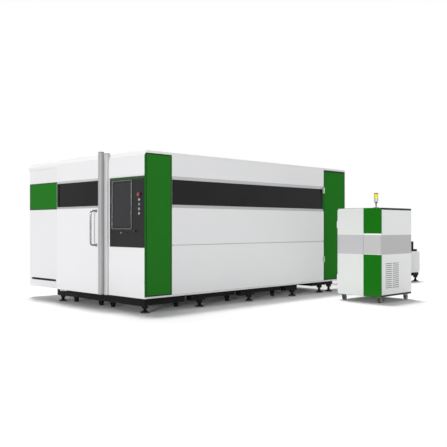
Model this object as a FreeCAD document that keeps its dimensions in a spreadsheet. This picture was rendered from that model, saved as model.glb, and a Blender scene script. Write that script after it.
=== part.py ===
"""Fibre laser cutting machine with a closed cabin, a two-level exchange table and a
separate source cabinet.  Millimetres, +Z up, +X along the machine from the operator's
end to the exchange table, +Y from the window side to the rear service bay.

Positions are written as in a workshop drawing: X from the outer face of the operator's
end wall, Y from the outer face of the window side, Z from the floor.  Each sub-part is
then shifted so that the origin is at the centre of the whole set, on the floor.
"""
import FreeCAD, Part
import math
import os
import re
import Sketcher
from FreeCAD import Vector

os.makedirs("parts", exist_ok=True)
doc = FreeCAD.newDocument("laser_cutting_machine")

# ---------------------------------------------------------------- driving dimensions
SIZES = {
    # cabin covers
    "cabin_length": 4640,
    "cabin_height": 2200,
    "cabin_width": 3070,
    "process_width": 2206,
    "skirt_height": 196,
    "skirt_strip": 24,
    "panel_depth": 50,
    "sheet_thickness": 3,
    "roof_lip": 33,
    "roof_sheet": 12,
    "bevel_height": 65,
    "bevel_depth": 40,
    "rim_width": 14,
    "pillar_width": 468,
    "service_door_width": 634,
    "service_door_edge": 12,
    "service_door_depth": 40,
    "panel_gap": 4,
    "window_drop": 720,
    "window_height": 345,
    "trim_height": 47,
    "trim_depth": 24,
    "trim_stile": 3,
    "glass_thickness": 6,
    "seam_height": 906,
    "seam_gap": 8,
    "frame_tube": 50,
    # operator's end
    "console_width": 780,
    "console_bottom": 885,
    "console_height": 970,
    "console_depth": 12,
    "screen_start": 267,
    "screen_width": 450,
    "screen_bottom": 1135,
    "screen_height": 675,
    "screen_border": 42,
    "bezel_proud": 8,
    "screen_sink": 2,
    "post_side": 70,
    "post_corner": 18,
    "post_gap": 1,
    "post_cap_height": 12,
    "post_cap_inset": 8,
    "post_cap_corner": 10,
    "fixed_post_start": 815,
    "fixed_post_front": 43,
    "fixed_post_rise": 15,
    "door_post_rise": 40,
    "door_post_front": 10,
    "door_gap": 37,
    "door_depth": 50,
    "door_overlap": 35,
    "door_bottom": 200,
    "door_window_drop": 730,
    "door_window_height": 360,
    "door_stile": 4,
    "door_trim": 33,
    "doorway_jamb": 166,
    "doorway_bottom": 300,
    "doorway_head": 55,
    "handle_start": 45,
    "handle_bottom": 905,
    "handle_height": 490,
    "handle_reach": 100,
    "handle_tube": 26,
    "handle_bend": 38,
    "top_rail_drop": 105,
    "top_rail_height": 40,
    "top_rail_depth": 26,
    "hanger_groove": 12,
    "hanger_groove_height": 24,
    "hanger_thickness": 8,
    "hanger_length": 120,
    "guide_pin_inset": 40,
    "guide_pin_radius": 8,
    "guide_groove": 20,
    "guide_groove_height": 25,
    "running_gap": 0.3,
    # rear service bay
    "bay_band_drop": 760,
    "bay_band_height": 430,
    "bay_band_proud": 2,
    "bay_slot_start": 44,
    "bay_slot_length": 762,
    "bay_slot_bottom": 300,
    "bay_slot_height": 35,
    "bay_slot_depth": 12,
    "bay_wall": 20,
    "bay_bottom": 190,
    "bay_panel_count": 4,
    "bay_seam": 6,
    # switches on the console
    "switch_line": 98,
    "stop_height": 1605,
    "stop_radius": 28,
    "stop_head": 16,
    "stop_collar": 34,
    "stop_travel": 6,
    "stop_round": 8,
    "button_round": 2,
    "knob_round": 3,
    "button_radius": 15,
    "button_collar": 20,
    "button_length": 17,
    "button_travel": 4,
    "button_proud": 2,
    "button_top": 1536,
    "button_pitch": 62,
    "collar_height": 4,
    "fit_gap": 0.1,
    "knob_height": 1110,
    "knob_place": 182,
    "knob_radius": 17,
    "knob_length": 22,
    "knob_stem": 5,
    "knob_grip": 6,
    "knob_grip_width": 8,
    "grip_inset": 1.5,
    "latch_place": 502,
    "latch_height": 1085,
    "latch_radius": 12,
    "latch_cap": 8,
    "latch_wing": 6,
    "latch_wing_width": 6,
    "port_start": 360,
    "port_width": 95,
    "port_bottom": 1068,
    "port_height": 24,
    "port_proud": 5,
    # base
    "bed_length": 3240,
    "sill_width": 100,
    "sill_bottom": 107,
    "end_beam_bottom": 95,
    "end_beam_width": 20,
    "sill_notch_top": 182,
    "sill_shallow": 132,
    "notch_one_start": 715,
    "notch_two_start": 1735,
    "notch_three_start": 2805,
    "notch_length": 130,
    "cross_beam_bottom": 120,
    "cross_beam_width": 120,
    "cross_beam_pitch": 1020,
    "side_beam_start": 140,
    "side_beam_width": 190,
    "side_beam_top": 900,
    "ledge_width": 60,
    "ledge_thickness": 30,
    "lower_track": 330,
    "upper_track": 530,
    "foot_radius": 60,
    "foot_stem": 20,
    "foot_bracket": 45,
    "foot_corner_bracket": 39,
    "foot_bracket_height": 42,
    "foot_disc": 16,
    "foot_pad": 45,
    "exchange_pad": 180,
    "exchange_foot_place": 110,
    "foot_place": 70,
    "foot_one": 60,
    "foot_two": 1065,
    "foot_three": 2125,
    "foot_four": 3195,
    "foot_five": 270,
    "foot_six": 550,
    "foot_seven": 1975,
    "jack_radius": 42,
    "jack_tip": 30,
    "jack_side_place": 300,
    "jack_one": 810,
    "jack_two": 1870,
    "jack_three": 2950,
    "jack_row_place": 100,
    "jack_row_one": 940,
    "jack_row_two": 1236,
    "jack_row_three": 1908,
    # gantry
    "rail_width": 30,
    "rail_height": 30,
    "rail_place": 235,
    "rail_end": 60,
    "rack_offset": 50,
    "rack_width": 24,
    "gantry_place": 370,
    "gantry_depth": 300,
    "gantry_bottom": 1000,
    "gantry_height": 300,
    "truck_width": 80,
    "truck_length": 360,
    "guide_rib": 15,
    "guide_rib_height": 25,
    "carriage_place": 400,
    "carriage_width": 300,
    "carriage_depth": 36,
    "carriage_bottom": 1010,
    "carriage_height": 300,
    "slide_width": 120,
    "slide_depth": 28,
    "slide_bottom": 900,
    "slide_height": 350,
    "head_radius": 35,
    "head_height": 280,
    "head_taper": 14,
    "clamp_inset": 7,
    "nozzle_bottom": 800,
    "nozzle_height": 60,
    "nozzle_tip": 5,
    # pallets
    "pallet_length": 3040,
    "pallet_clearance": 8,
    "pallet_height": 70,
    "pallet_member": 50,
    "pallet_place": 220,
    "pallet_overlap": 320,
    "slat_pitch": 120,
    "slat_count": 24,
    "slat_start": 110,
    "slat_thickness": 4,
    "slat_rise": 50,
    "slat_height": 80,
    "tooth_height": 20,
    "tooth_count": 12,
    # exchange table
    "exchange_inset": 905,
    "exchange_length": 2847,
    "exchange_sill_bottom": 130,
    "exchange_sill_start": 60,
    "exchange_beam_start": 250,
    "exchange_beam_bottom": 230,
    "exchange_beam_top": 560,
    "exchange_leg": 110,
    "cover_top": 644,
    "cover_radius": 70,
    "foot_eight": 97,
    "bracket_inset": 384,
    "bracket_width": 273,
    "bracket_height": 210,
    "bracket_bar": 45,
    "bracket_leg": 125,
    "bracket_place": 62,
    "bracket_depth": 90,
    # exchange end of the cabin
    "end_plate": 7,
    "end_frame": 33,
    "portal_top": 1300,
    "cheek_thickness": 40,
    "cheek_end": 20,
    "gate_setback": 390,
    "gate_thickness": 30,
    "gate_bottom": 690,
    "gate_height": 640,
    "gate_edge": 10,
    # hinges
    "hinge_radius": 8.7,
    "hinge_offset": 9,
    "hinge_length": 102,
    "hinge_leaf": 37,
    "service_hinge_inset": 5,
    "service_hinge_low": 539,
    "service_hinge_high": 1755,
    "cabinet_hinge_low": 300,
    "cabinet_hinge_high": 1150,
    "cabinet_hinge_inset": 12,
    # separate cabinet
    "cabinet_place": 3250,
    "cabinet_depth": 907,
    "cabinet_gap": 822,
    "cabinet_width": 790,
    "cabinet_base": 95,
    "cabinet_base_plate": 20,
    "cabinet_top": 1457,
    "cabinet_lid_height": 26,
    "cabinet_skin": 30,
    "face_corner": 40,
    "face_edge": 12,
    "cabinet_wall": 20,
    "column_width": 303,
    "door_seam": 5,
    "cabinet_corner": 20,
    "louvre_start": 140,
    "louvre_length": 185,
    "louvre_column_pitch": 205,
    "louvre_bottom": 219,
    "louvre_pitch": 31,
    "louvre_rows": 13,
    "louvre_height": 14,
    "louvre_depth": 6,
    "caster_inset": 70,
    "caster_plate": 10,
    "caster_half_plate": 36,
    "caster_trail": 20,
    "wheel_radius": 37.5,
    "wheel_width": 44,
    "wheel_axle": 6,
    "wheel_round": 6,
    "fork_thickness": 4,
    "fork_margin": 10,
    "fork_end": 8,
    "fork_gap": 2,
    # beacon
    "beacon_x": 200,
    "beacon_y": 206,
    "beacon_flange": 43,
    "beacon_flange_height": 12,
    "beacon_stem": 12.5,
    "beacon_stem_top": 73,
    "beacon_neck_top": 106,
    "beacon_radius": 33,
    "beacon_body_top": 153,
    "beacon_amber_top": 218,
    "beacon_red_top": 238,
    "beacon_round": 14,
}

sheet = doc.addObject("Spreadsheet::Sheet", "Sizes")
for row, (alias, value) in enumerate(SIZES.items(), start=1):
    sheet.set(f"A{row}", alias)
    sheet.set(f"B{row}", str(value))
    sheet.setAlias(f"B{row}", alias)
doc.recompute()

# Names for places that several pieces share, as expressions of the driving dimensions.
EXCHANGE_START = "(cabin_length - exchange_inset)"
EXCHANGE_END = "(cabin_length + exchange_length)"
CENTRE_X = f"({EXCHANGE_END} - door_gap - door_depth - handle_reach - handle_tube / 2) / 2"
FRAME_START = "(post_side - fixed_post_front)"
FRAME_END = f"({FRAME_START} + frame_tube)"
CENTRE_Y = "(cabin_width - cabinet_gap - cabinet_width) / 2"
COVER_BOTTOM = "(skirt_height + skirt_strip)"
COVER_TOP = "(cabin_height - roof_lip)"
SIDE_START = "(rim_width + pillar_width)"
SERVICE_START = "(cabin_length - service_door_edge - service_door_width)"
SIDE_END = f"({SERVICE_START} - panel_gap)"
WINDOW_BOTTOM = "(cabin_height - window_drop)"
WINDOW_TOP = f"({WINDOW_BOTTOM} + window_height)"
DOOR_WINDOW = "(cabin_height - door_window_drop)"
BAND = "(cabin_height - bay_band_drop)"
WALL_TOP = "(cabin_height - bevel_height)"
DOORWAY_END = "(process_width - doorway_jamb)"
DOORWAY_TOP = f"({WALL_TOP} - doorway_head)"
DOOR_POST_START = "(fixed_post_start + post_side + post_gap)"
DOOR_START = f"({DOOR_POST_START} + post_side)"
DOOR_END = f"({DOORWAY_END} + door_overlap)"
DOOR_FRONT = "(-door_gap - door_depth)"
TOP_RAIL = "(cabin_height - top_rail_drop)"
GUIDE_PIN = f"({DOORWAY_END} - guide_pin_inset)"
GATE = "(cabin_length - gate_setback)"
SIDE_BEAM_END = "(side_beam_start + side_beam_width)"
PALLET_START = f"({SIDE_BEAM_END} + pallet_clearance)"
BRACKET_START = f"({EXCHANGE_END} - bracket_inset)"
FASCIA = "(-console_depth)"
CABINET_NEAR = "(-cabinet_gap - cabinet_width)"
CABINET_FAR = "(-cabinet_gap)"
CABINET_BODY = "(cabinet_place + cabinet_skin)"
CABINET_LOW = "(cabinet_base + cabinet_base_plate)"
CABINET_HIGH = "(cabinet_top - cabinet_lid_height)"
COLUMN_END = f"({CABINET_NEAR} + column_width)"
GROOVE_FRONT = "(-(top_rail_depth + hanger_groove) / 2)"

WORD = re.compile(r"[a-z][a-z_]+")
finished = []
places = {}


# ------------------------------------------------------------------------- helpers
def bound(text):
    """Expression text with each driving dimension written as a cell of the sheet."""
    return WORD.sub(lambda hit: "Sizes." + hit[0] if hit[0] in SIZES else hit[0], str(text))


def number(text):
    """Present value of an expression, for the first guess of a sketch."""
    return float(sheet.evalExpression(bound(text)))


def bind(thing, **sizes):
    for name, text in sizes.items():
        thing.setExpression(name, bound(text))
    return thing


def put(thing, x=0, y=0, z=0):
    """Bind the corner, centre or sketch origin of a feature to a place."""
    places[thing.Name] = (x, y, z)
    for axis, text in zip("xyz", (x, y, z)):
        thing.setExpression("Placement.Base." + axis, bound(text))
    return thing


def block(x, y, z):
    """Rectangular bar or plate over the spans x, y and z."""
    thing = doc.addObject("Part::Box", "Block")
    spans = [f"({high}) - ({low})" for low, high in (x, y, z)]
    bind(thing, Length=spans[0], Width=spans[1], Height=spans[2])
    return put(thing, x[0], y[0], z[0])


TURNS = {
    "x": FreeCAD.Rotation(Vector(0, 1, 0), 90),
    "y": FreeCAD.Rotation(Vector(1, 0, 0), -90),
    "z": FreeCAD.Rotation(),
}


def rod(axis, x, y, z, radius, length):
    """Cylinder from (x, y, z) along the positive axis."""
    thing = doc.addObject("Part::Cylinder", "Rod")
    thing.Placement = FreeCAD.Placement(Vector(), TURNS[axis])
    bind(thing, Radius=radius, Height=length)
    return put(thing, x, y, z)


def fuse(*things):
    thing = doc.addObject("Part::MultiFuse", "Joined")
    thing.Shapes = list(things)
    thing.Refine = True
    return thing


def cut(base, *tools):
    thing = doc.addObject("Part::Cut", "Trimmed")
    thing.Base = base
    thing.Tool = tools[0] if len(tools) == 1 else fuse(*tools)
    thing.Refine = True
    return thing


def group(*things):
    """Separate solids that share one sub-part."""
    thing = doc.addObject("Part::Compound", "Group")
    thing.Links = list(things)
    return thing


def origin_plane(body, role):
    return next(item for item in body.Origin.OriginFeatures if item.Role == role)


def corner_arc(before, corner, after, radius):
    """Start, end and centre of the round at a corner between two straight sides that
    run along the sketch's axes, each as a pair of expressions, and the turn's sense."""
    here, last, following = [tuple(number(c) for c in p[:2]) for p in (corner, before, after)]

    def sign(a, b):
        return (a > b) - (a < b)

    into = (sign(here[0], last[0]), sign(here[1], last[1]))
    out = (sign(following[0], here[0]), sign(following[1], here[1]))
    start = tuple(f"({corner[i]}) - ({into[i]}) * ({radius})" for i in (0, 1))
    end = tuple(f"({corner[i]}) + ({out[i]}) * ({radius})" for i in (0, 1))
    centre = tuple(f"({corner[i]}) + ({out[i] - into[i]}) * ({radius})" for i in (0, 1))
    return start, end, centre, into[0] * out[1] - into[1] * out[0] > 0


def sketch(body, role, outlines, closed=True):
    """Sketch on one of the body's own planes.  Each outline is a list of corners
    (across, up) or (across, up, radius), every coordinate an expression."""
    thing = body.newObject("Sketcher::SketchObject", "Outline")
    thing.AttachmentSupport = (origin_plane(body, role), [""])
    thing.MapMode = "FlatFace"
    for corners in outlines:
        draw(thing, corners, closed)
    return thing


def pin(thing, edge, end, across, up):
    """Hold a sketch point at a bound distance from the sketch's origin."""
    for kind, text in (("DistanceX", across), ("DistanceY", up)):
        hold = Sketcher.Constraint(kind, -1, 1, edge, end, number(text))
        thing.setExpression(f"Constraints[{thing.addConstraint(hold)}]", bound(text))


def draw(thing, corners, closed):
    """Straight sides with a round at each corner that has a radius."""
    count = len(corners)
    stops = []
    for k, corner in enumerate(corners):
        if len(corner) == 3:
            stops.append(corner_arc(corners[k - 1], corner, corners[(k + 1) % count], corner[2]))
        else:
            stops.append((corner, corner, None, None))
    for k in range(count if closed else count - 1):
        start, end = stops[k][1], stops[(k + 1) % count][0]
        ends = [Vector(number(p[0]), number(p[1]), 0) for p in (start, end)]
        edge = thing.addGeometry(Part.LineSegment(*ends))
        pin(thing, edge, 1, *start[:2])
        pin(thing, edge, 2, *end[:2])
    for corner, (start, end, centre, left) in zip(corners, stops):
        if centre is None:
            continue
        middle = Vector(number(centre[0]), number(centre[1]), 0)
        first, last = (start, end) if left else (end, start)
        angles = [math.atan2(number(p[1]) - middle.y, number(p[0]) - middle.x)
                  for p in (first, last)]
        circle = Part.Circle(middle, Vector(0, 0, 1), number(corner[2]))
        edge = thing.addGeometry(Part.ArcOfCircle(circle, *angles))
        pin(thing, edge, 1, *first)
        pin(thing, edge, 2, *last)
        hold = Sketcher.Constraint("Radius", edge, number(corner[2]))
        thing.setExpression(f"Constraints[{thing.addConstraint(hold)}]", bound(corner[2]))


def prism(role, outlines, length, x=0, y=0, z=0):
    """Body whose outline is padded along +X (YZ_Plane), +Y (XZ_Plane) or +Z (XY_Plane)."""
    body = doc.addObject("PartDesign::Body", "Body")
    pad = body.newObject("PartDesign::Pad", "Pad")
    pad.Profile = sketch(body, role, outlines)
    pad.Reversed = role == "XZ_Plane"
    bind(pad, Length=length)
    return put(body, x, y, z)


def turned(outline, x=0, y=0, z=0, axis="z"):
    """Body of revolution about an axis; outline of (radius, distance along it) corners."""
    body = doc.addObject("PartDesign::Body", "Body")
    body.Placement = FreeCAD.Placement(Vector(), TURNS[axis])
    spin = body.newObject("PartDesign::Revolution", "Revolution")
    profile = sketch(body, "XZ_Plane", [outline])
    spin.Profile = profile
    spin.ReferenceAxis = (profile, ["V_Axis"])
    spin.Angle = 360
    return put(body, x, y, z)


def rectangle(x, y, radius=None):
    corners = [(x[0], y[0]), (x[1], y[0]), (x[1], y[1]), (x[0], y[1])]
    return [corner + (radius,) for corner in corners] if radius else corners


def mirrored(span):
    """The same span measured from the far side of the process area."""
    return f"process_width - ({span[1]})", f"process_width - ({span[0]})"


def finish(thing, label):
    """Name a sub-part and shift it to the common origin."""
    x, y, z = places.get(thing.Name, (0, 0, 0))
    put(thing, f"({x}) - {CENTRE_X}", f"({y}) - {CENTRE_Y}", z)
    thing.Label = label
    finished.append(thing)
    return thing


def pan(x, y, z, open_side):
    """Folded sheet cover: a box of sheet that is open on one side."""
    inner = [[f"({low}) + sheet_thickness", f"({high}) - sheet_thickness"]
             for low, high in (x, y, z)]
    axis, end = "xyz".index(open_side[1]), open_side[0] == "+"
    span = (x, y, z)[axis]
    inner[axis][end] = f"({span[end]}) {'+' if end else '-'} 1"
    return cut(block(x, y, z), block(*inner))


# ------------------------------------------------------------- base under the cabin
def bed_frame():
    """Welded bed: sills, end beam, cross beams, two tall side beams and the ledges that
    carry the pallets at two levels."""
    outline = [("end_beam_width", "skirt_height"), ("end_beam_width", "sill_bottom")]
    level = "sill_bottom"
    for notch, foot in (("one", "two"), ("two", "three"), ("three", "four")):
        start, pad_end = f"notch_{notch}_start", f"foot_{foot} + foot_pad"
        outline += [(start, level), (start, "sill_notch_top"),
                    (f"{start} + notch_length", "sill_notch_top"),
                    (f"{start} + notch_length", "sill_bottom"), (pad_end, "sill_bottom")]
        level = "sill_shallow"
        if foot != "four":
            outline.append((pad_end, level))
    outline.append(("bed_length", "skirt_height"))
    pieces = [block(("0", "end_beam_width"), ("0", "process_width"),
                    ("end_beam_bottom", "skirt_height"))]
    inner = ("sill_width", "process_width - sill_width")
    for start in ("0", "process_width - sill_width"):
        pieces.append(prism("XZ_Plane", [outline], "sill_width", y=start))
    for step in range(3):
        start = f"jack_row_place + {step} * cross_beam_pitch"
        pieces.append(cross_beam(start, inner))
    pieces.append(cross_beam("bed_length - cross_beam_width", inner))
    side = ("side_beam_start", SIDE_BEAM_END)
    along = (FRAME_END, "bed_length")
    for across in (side, mirrored(side)):
        pieces.append(block(along, across, ("skirt_height", "side_beam_top")))
    pieces += ledges(along)
    return finish(group(*pieces), "bed_frame")


def cross_beam(start, across):
    return block((start, f"{start} + cross_beam_width"), across,
                 ("cross_beam_bottom", "skirt_height"))


def ledges(along):
    """Flat bars along both inner faces, one pair at each track level."""
    bars = []
    near = (SIDE_BEAM_END, f"{SIDE_BEAM_END} + ledge_width")
    for level in ("lower_track", "upper_track"):
        for across in (near, mirrored(near)):
            bars.append(block(along, across, (f"{level} - ledge_thickness", level)))
    return bars


def levelling_feet():
    """Disc feet with a threaded stem under a round bracket."""
    feet = []
    for name in ("one", "two", "three", "four", "five", "six", "seven", "eight"):
        under_bed = name in ("one", "two", "three", "four")
        top = "sill_bottom" if under_bed else "exchange_sill_bottom"
        place = f"foot_{name}" if under_bed else exchange_foot(name)
        step = f"{top} - foot_bracket_height"
        bracket = "foot_corner_bracket" if name == "one" else "foot_bracket"
        outline = [("0", "0"), ("foot_radius", "0"), ("foot_radius", "foot_disc"),
                   ("foot_stem", "2 * foot_disc"), ("foot_stem", step),
                   (bracket, step), (bracket, top), ("0", top)]
        row = "foot_place" if under_bed else "exchange_foot_place"
        for across in (row, f"process_width - {row}"):
            feet.append(turned(outline, place, across))
    return finish(group(*feet), "levelling_feet")


def exchange_foot(name):
    """Place along the machine of one pair of the exchange table's feet."""
    if name == "eight":
        return f"({EXCHANGE_END} - foot_eight)"
    return f"({EXCHANGE_START} + foot_{name})"


def bed_jacks():
    """Tapered jacks that carry the bed's weight to the floor."""
    jacks = []
    for along in ("jack_one", "jack_two", "jack_three"):
        for across in ("jack_side_place", "process_width - jack_side_place"):
            jacks.append(jack(along, across, "skirt_height"))
    for across in ("jack_row_one", "jack_row_two", "jack_row_three"):
        along = "jack_row_place + cross_beam_width / 2"
        jacks.append(jack(along, across, "cross_beam_bottom"))
    return finish(group(*jacks), "bed_jacks")


def jack(along, across, top):
    outline = [("0", "0"), ("jack_tip", "0"), ("jack_radius", f"{top} / 2"),
               ("jack_radius", top), ("0", top)]
    return turned(outline, along, across)


# ----------------------------------------------------------------- cabin structure
def cabin_frame():
    """Square tubes behind the covers: corner posts, a ring at the top and a ring at the
    bottom whose edge shows as the strip below the panels."""
    tube = "frame_tube"
    near = ("panel_depth", f"panel_depth + {tube}")
    far = (f"process_width - {tube}", "process_width")
    first = (FRAME_START, FRAME_END)
    last = (f"cabin_length - end_plate - end_frame - {tube}", "cabin_length - end_plate - end_frame")
    low = ("skirt_height", COVER_BOTTOM)
    high = (f"{WALL_TOP} - {tube}", WALL_TOP)
    upright = (COVER_BOTTOM, high[0])
    pieces = [block(along, across, upright) for along in (first, last) for across in (near, far)]
    whole = (first[0], last[1])
    pieces += [block(whole, across, high) for across in (near, far)]
    pieces += [block(along, (near[1], far[0]), high) for along in (first, last)]
    for across in (("0", near[1]), far):
        pieces.append(block(("rim_width", "cabin_length - end_plate"), across, low))
    pieces.append(block(first, (near[1], far[0]), low))
    return finish(group(*pieces), "cabin_frame")


def end_wall():
    """Flat panels of the operator's end, round the doorway."""
    thick = ("0", "rim_width")
    tall = ("skirt_height", WALL_TOP)
    doorway = ("fixed_post_start", DOORWAY_END)
    pieces = [
        block(thick, ("sheet_thickness", "fixed_post_start"), tall),
        block(thick, (DOORWAY_END, "process_width"), tall),
        block(thick, doorway, ("skirt_height", "doorway_bottom")),
        block(thick, doorway, (DOORWAY_TOP, WALL_TOP)),
    ]
    notch = block(("-1", "rim_width + 1"),
                  ("fixed_post_start", "fixed_post_start + post_side"),
                  ("0", "doorway_bottom + 1"))
    pieces[2] = cut(pieces[2], notch)
    pieces[3] = cut(pieces[3], block(("-1", "rim_width + 1"),
                                     ("fixed_post_start", "fixed_post_start + post_side"),
                                     (f"{DOORWAY_TOP} - 1", "cabin_height")))
    return finish(group(*pieces), "end_wall")


def near_pillar():
    """Green corner cover whose front sheet wraps the corner up to the roof's sloping edge."""
    tall = (COVER_BOTTOM, COVER_TOP)
    cover = pan(("rim_width", SIDE_START), ("0", "panel_depth"), tall, "+y")
    edge = block(("0", "rim_width + sheet_thickness"), ("0", "sheet_thickness"), tall)
    behind = prism("XZ_Plane", [[("0", WALL_TOP), ("rim_width", WALL_TOP),
                                 ("bevel_depth + rim_width", "cabin_height - roof_sheet"),
                                 ("0", "cabin_height")]], "panel_depth", y="sheet_thickness")
    outside = prism("XZ_Plane", [[("-1", WALL_TOP), ("0", WALL_TOP),
                                  ("bevel_depth", "cabin_height"), ("-1", "cabin_height")]],
                    "sheet_thickness + 2", y="-1")
    finish(cut(fuse(cover, edge), behind, outside), "near_pillar")


def side_panels():
    along = (SIDE_START, SIDE_END)
    deep = ("0", "panel_depth")
    top = pan(along, deep, (f"{WINDOW_TOP} + trim_height", COVER_TOP), "+y")
    finish(top, "side_top_panel")
    middle = pan(along, deep, ("seam_height + seam_gap", f"{WINDOW_BOTTOM} - trim_height"), "+y")
    low = pan(along, deep, (COVER_BOTTOM, "seam_height"), "+y")
    seam = block(along, ("panel_depth / 2", "panel_depth"), ("seam_height", "seam_height + seam_gap"))
    finish(group(middle, low, seam), "side_lower_panels")


def window_trim():
    """Frame round the long window: sloping reveals above and below the glass."""
    low = f"{WINDOW_BOTTOM} - trim_height"
    high = f"{WINDOW_TOP} + trim_height"
    frame = block((SIDE_START, SIDE_END), ("0", "trim_depth"), (low, high))
    reveal = prism("YZ_Plane", [[("-1", low), ("0", low), ("trim_depth", WINDOW_BOTTOM),
                                 ("trim_depth + 1", WINDOW_BOTTOM),
                                 ("trim_depth + 1", WINDOW_TOP), ("trim_depth", WINDOW_TOP),
                                 ("0", high), ("-1", high)]],
                   f"{SIDE_END} - {SIDE_START}", x=f"{SIDE_START} + trim_stile")
    finish(cut(frame, reveal), "window_trim")
    glass = block((SIDE_START, SIDE_END), ("trim_depth", "trim_depth + glass_thickness"),
                  (low, high))
    finish(glass, "side_window")


def roof():
    """Shallow tray over the whole cabin with a sloping edge above the operator's end."""
    outline = [("0", WALL_TOP), ("bevel_depth", "cabin_height"), ("cabin_length", "cabin_height"),
               ("cabin_length", COVER_TOP), ("cabin_length - end_plate", COVER_TOP),
               ("cabin_length - end_plate", "cabin_height - roof_sheet"),
               ("bevel_depth + rim_width", "cabin_height - roof_sheet"),
               ("rim_width", WALL_TOP)]
    tray = prism("XZ_Plane", [outline], "cabin_width")
    along = ("rim_width * 2 + bevel_depth", "cabin_length - end_plate")
    slope = "bevel_depth * (bevel_height - roof_lip) / (bevel_height - roof_sheet)"
    lip = [(f"rim_width + {slope}", COVER_TOP), (along[1], COVER_TOP),
           (along[1], "cabin_height - roof_sheet"),
           ("rim_width + bevel_depth", "cabin_height - roof_sheet")]
    lips = [prism("XZ_Plane", [lip], "rim_width", y=start)
            for start in ("0", "cabin_width - rim_width")]
    post = block(("-1", FRAME_START), ("fixed_post_start", "fixed_post_start + post_side"),
                 (f"{WALL_TOP} - 1", "cabin_height + 1"))
    edge = block(("-1", along[0]), ("-1", "sheet_thickness"), (f"{WALL_TOP} - 1", COVER_TOP))
    finish(cut(fuse(tray, *lips), post, edge), "roof")


def rear_bay():
    """Service bay along the rear: end panels, bulkhead, top and bottom trays, and rear
    panels with a seam between each two.  A slot runs across its front end."""
    wall = "bay_wall"
    tall = ("bay_bottom", WALL_TOP)
    across = ("process_width", "cabin_width")
    inner = (f"{across[0]} + {wall}", f"{across[1]} - {wall}")
    front = block(("0", wall), across, tall)
    slot = block(("-1", "bay_slot_depth"),
                 ("process_width + bay_slot_start", "process_width + bay_slot_start + bay_slot_length"),
                 ("bay_slot_bottom", "bay_slot_bottom + bay_slot_height"))
    along = (wall, f"cabin_length - {wall}")
    pieces = [cut(front, slot), block((along[1], "cabin_length"), across, tall)]
    pieces.append(block(along, (across[0], inner[0]), tall))
    pieces.append(block(along, inner, (tall[0], f"{tall[0]} + {wall}")))
    pieces.append(block(along, inner, (f"{tall[1]} - {wall}", tall[1])))
    count = SIZES["bay_panel_count"]
    wide = f"(cabin_length - 2 * {wall}) / {count}"
    for step in range(count):
        seams = ("bay_seam / 2" if step else "0", "bay_seam / 2" if step < count - 1 else "0")
        panel = (f"{wall} + {step} * {wide} + {seams[0]}", f"{wall} + {step + 1} * {wide} - {seams[1]}")
        pieces.append(block(panel, (inner[1], across[1]), tall))
    finish(group(*pieces), "rear_bay")
    band = block(("-bay_band_proud", "0"), across,
                 (BAND, f"{BAND} + bay_band_height"))
    finish(band, "rear_band")


def far_portal():
    """Exchange end: a plate with the pallet opening, and two cheeks that guide the gate."""
    plate = ("cabin_length - end_plate", "cabin_length")
    back = ("cabin_length - end_plate - end_frame", plate[0])
    opening = ("exchange_beam_start", "process_width - exchange_beam_start")
    sides = (("0", opening[0]), (opening[1], "process_width"))
    pieces = [block(plate, side, ("skirt_height", COVER_TOP)) for side in sides]
    pieces.append(block(plate, opening, ("portal_top", COVER_TOP)))
    pieces.append(block(back, opening, ("portal_top", COVER_TOP)))
    cheek = ("exchange_beam_start - cheek_thickness", "exchange_beam_start")
    cheek_top = f"{WALL_TOP} - frame_tube"
    groove_x = (f"{GATE} - running_gap", f"{GATE} + gate_thickness + running_gap")
    for turn in (lambda span: span, mirrored):
        wall = block((f"{GATE} - cheek_end", back[1]), turn(cheek), (COVER_BOTTOM, cheek_top))
        groove = block(groove_x, turn((f"{cheek[1]} - gate_edge", f"{cheek[1]} + 1")),
                       ("gate_bottom - 1", f"{cheek_top} + 1"))
        pieces.append(cut(wall, groove))
    return finish(group(*pieces), "far_portal")


def lift_gate():
    """Roller-guided plate that closes the opening above the upper pallet."""
    inset = "exchange_beam_start - gate_edge + running_gap"
    plate = block((GATE, f"{GATE} + gate_thickness"),
                  (inset, f"process_width - ({inset})"),
                  ("gate_bottom", "gate_bottom + gate_height"))
    return finish(plate, "lift_gate")


def service_door():
    door = pan((SERVICE_START, f"{SERVICE_START} + service_door_width"),
               ("0", "service_door_depth"),
               (f"{COVER_BOTTOM} + panel_gap", f"{COVER_TOP} - panel_gap"), "+y")
    return finish(door, "service_door")


def hinges():
    """Barrel hinges: two of the service door and two of the cabinet door."""
    pieces = []
    axis_x = f"{SERVICE_START} + service_hinge_inset"
    for height in ("service_hinge_low", "service_hinge_high"):
        barrel = rod("z", axis_x, "-hinge_offset", height, "hinge_radius", "hinge_length")
        leaf = block((f"{axis_x} - hinge_leaf", axis_x), ("-sheet_thickness", "0"),
                     (height, f"{height} + hinge_length"))
        pieces.append(fuse(barrel, leaf))
    axis_x = "cabinet_place + cabinet_hinge_inset"
    axis_y = f"{CABINET_FAR} + hinge_offset"
    for height in ("cabinet_hinge_low", "cabinet_hinge_high"):
        barrel = rod("z", axis_x, axis_y, height, "hinge_radius", "hinge_length")
        leaf = block((axis_x, f"{axis_x} + hinge_leaf"),
                     (CABINET_FAR, f"{CABINET_FAR} + sheet_thickness"),
                     (height, f"{height} + hinge_length"))
        pieces.append(fuse(barrel, leaf))
    return finish(group(*pieces), "hinges")


# ------------------------------------------------------------------ operator's end
def fixed_post():
    start = "fixed_post_start"
    body = upright(("-fixed_post_front", "post_side - fixed_post_front"),
                   (start, f"{start} + post_side"),
                   ("skirt_height", "cabin_height + fixed_post_rise"))
    return finish(body, "fixed_post")


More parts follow.
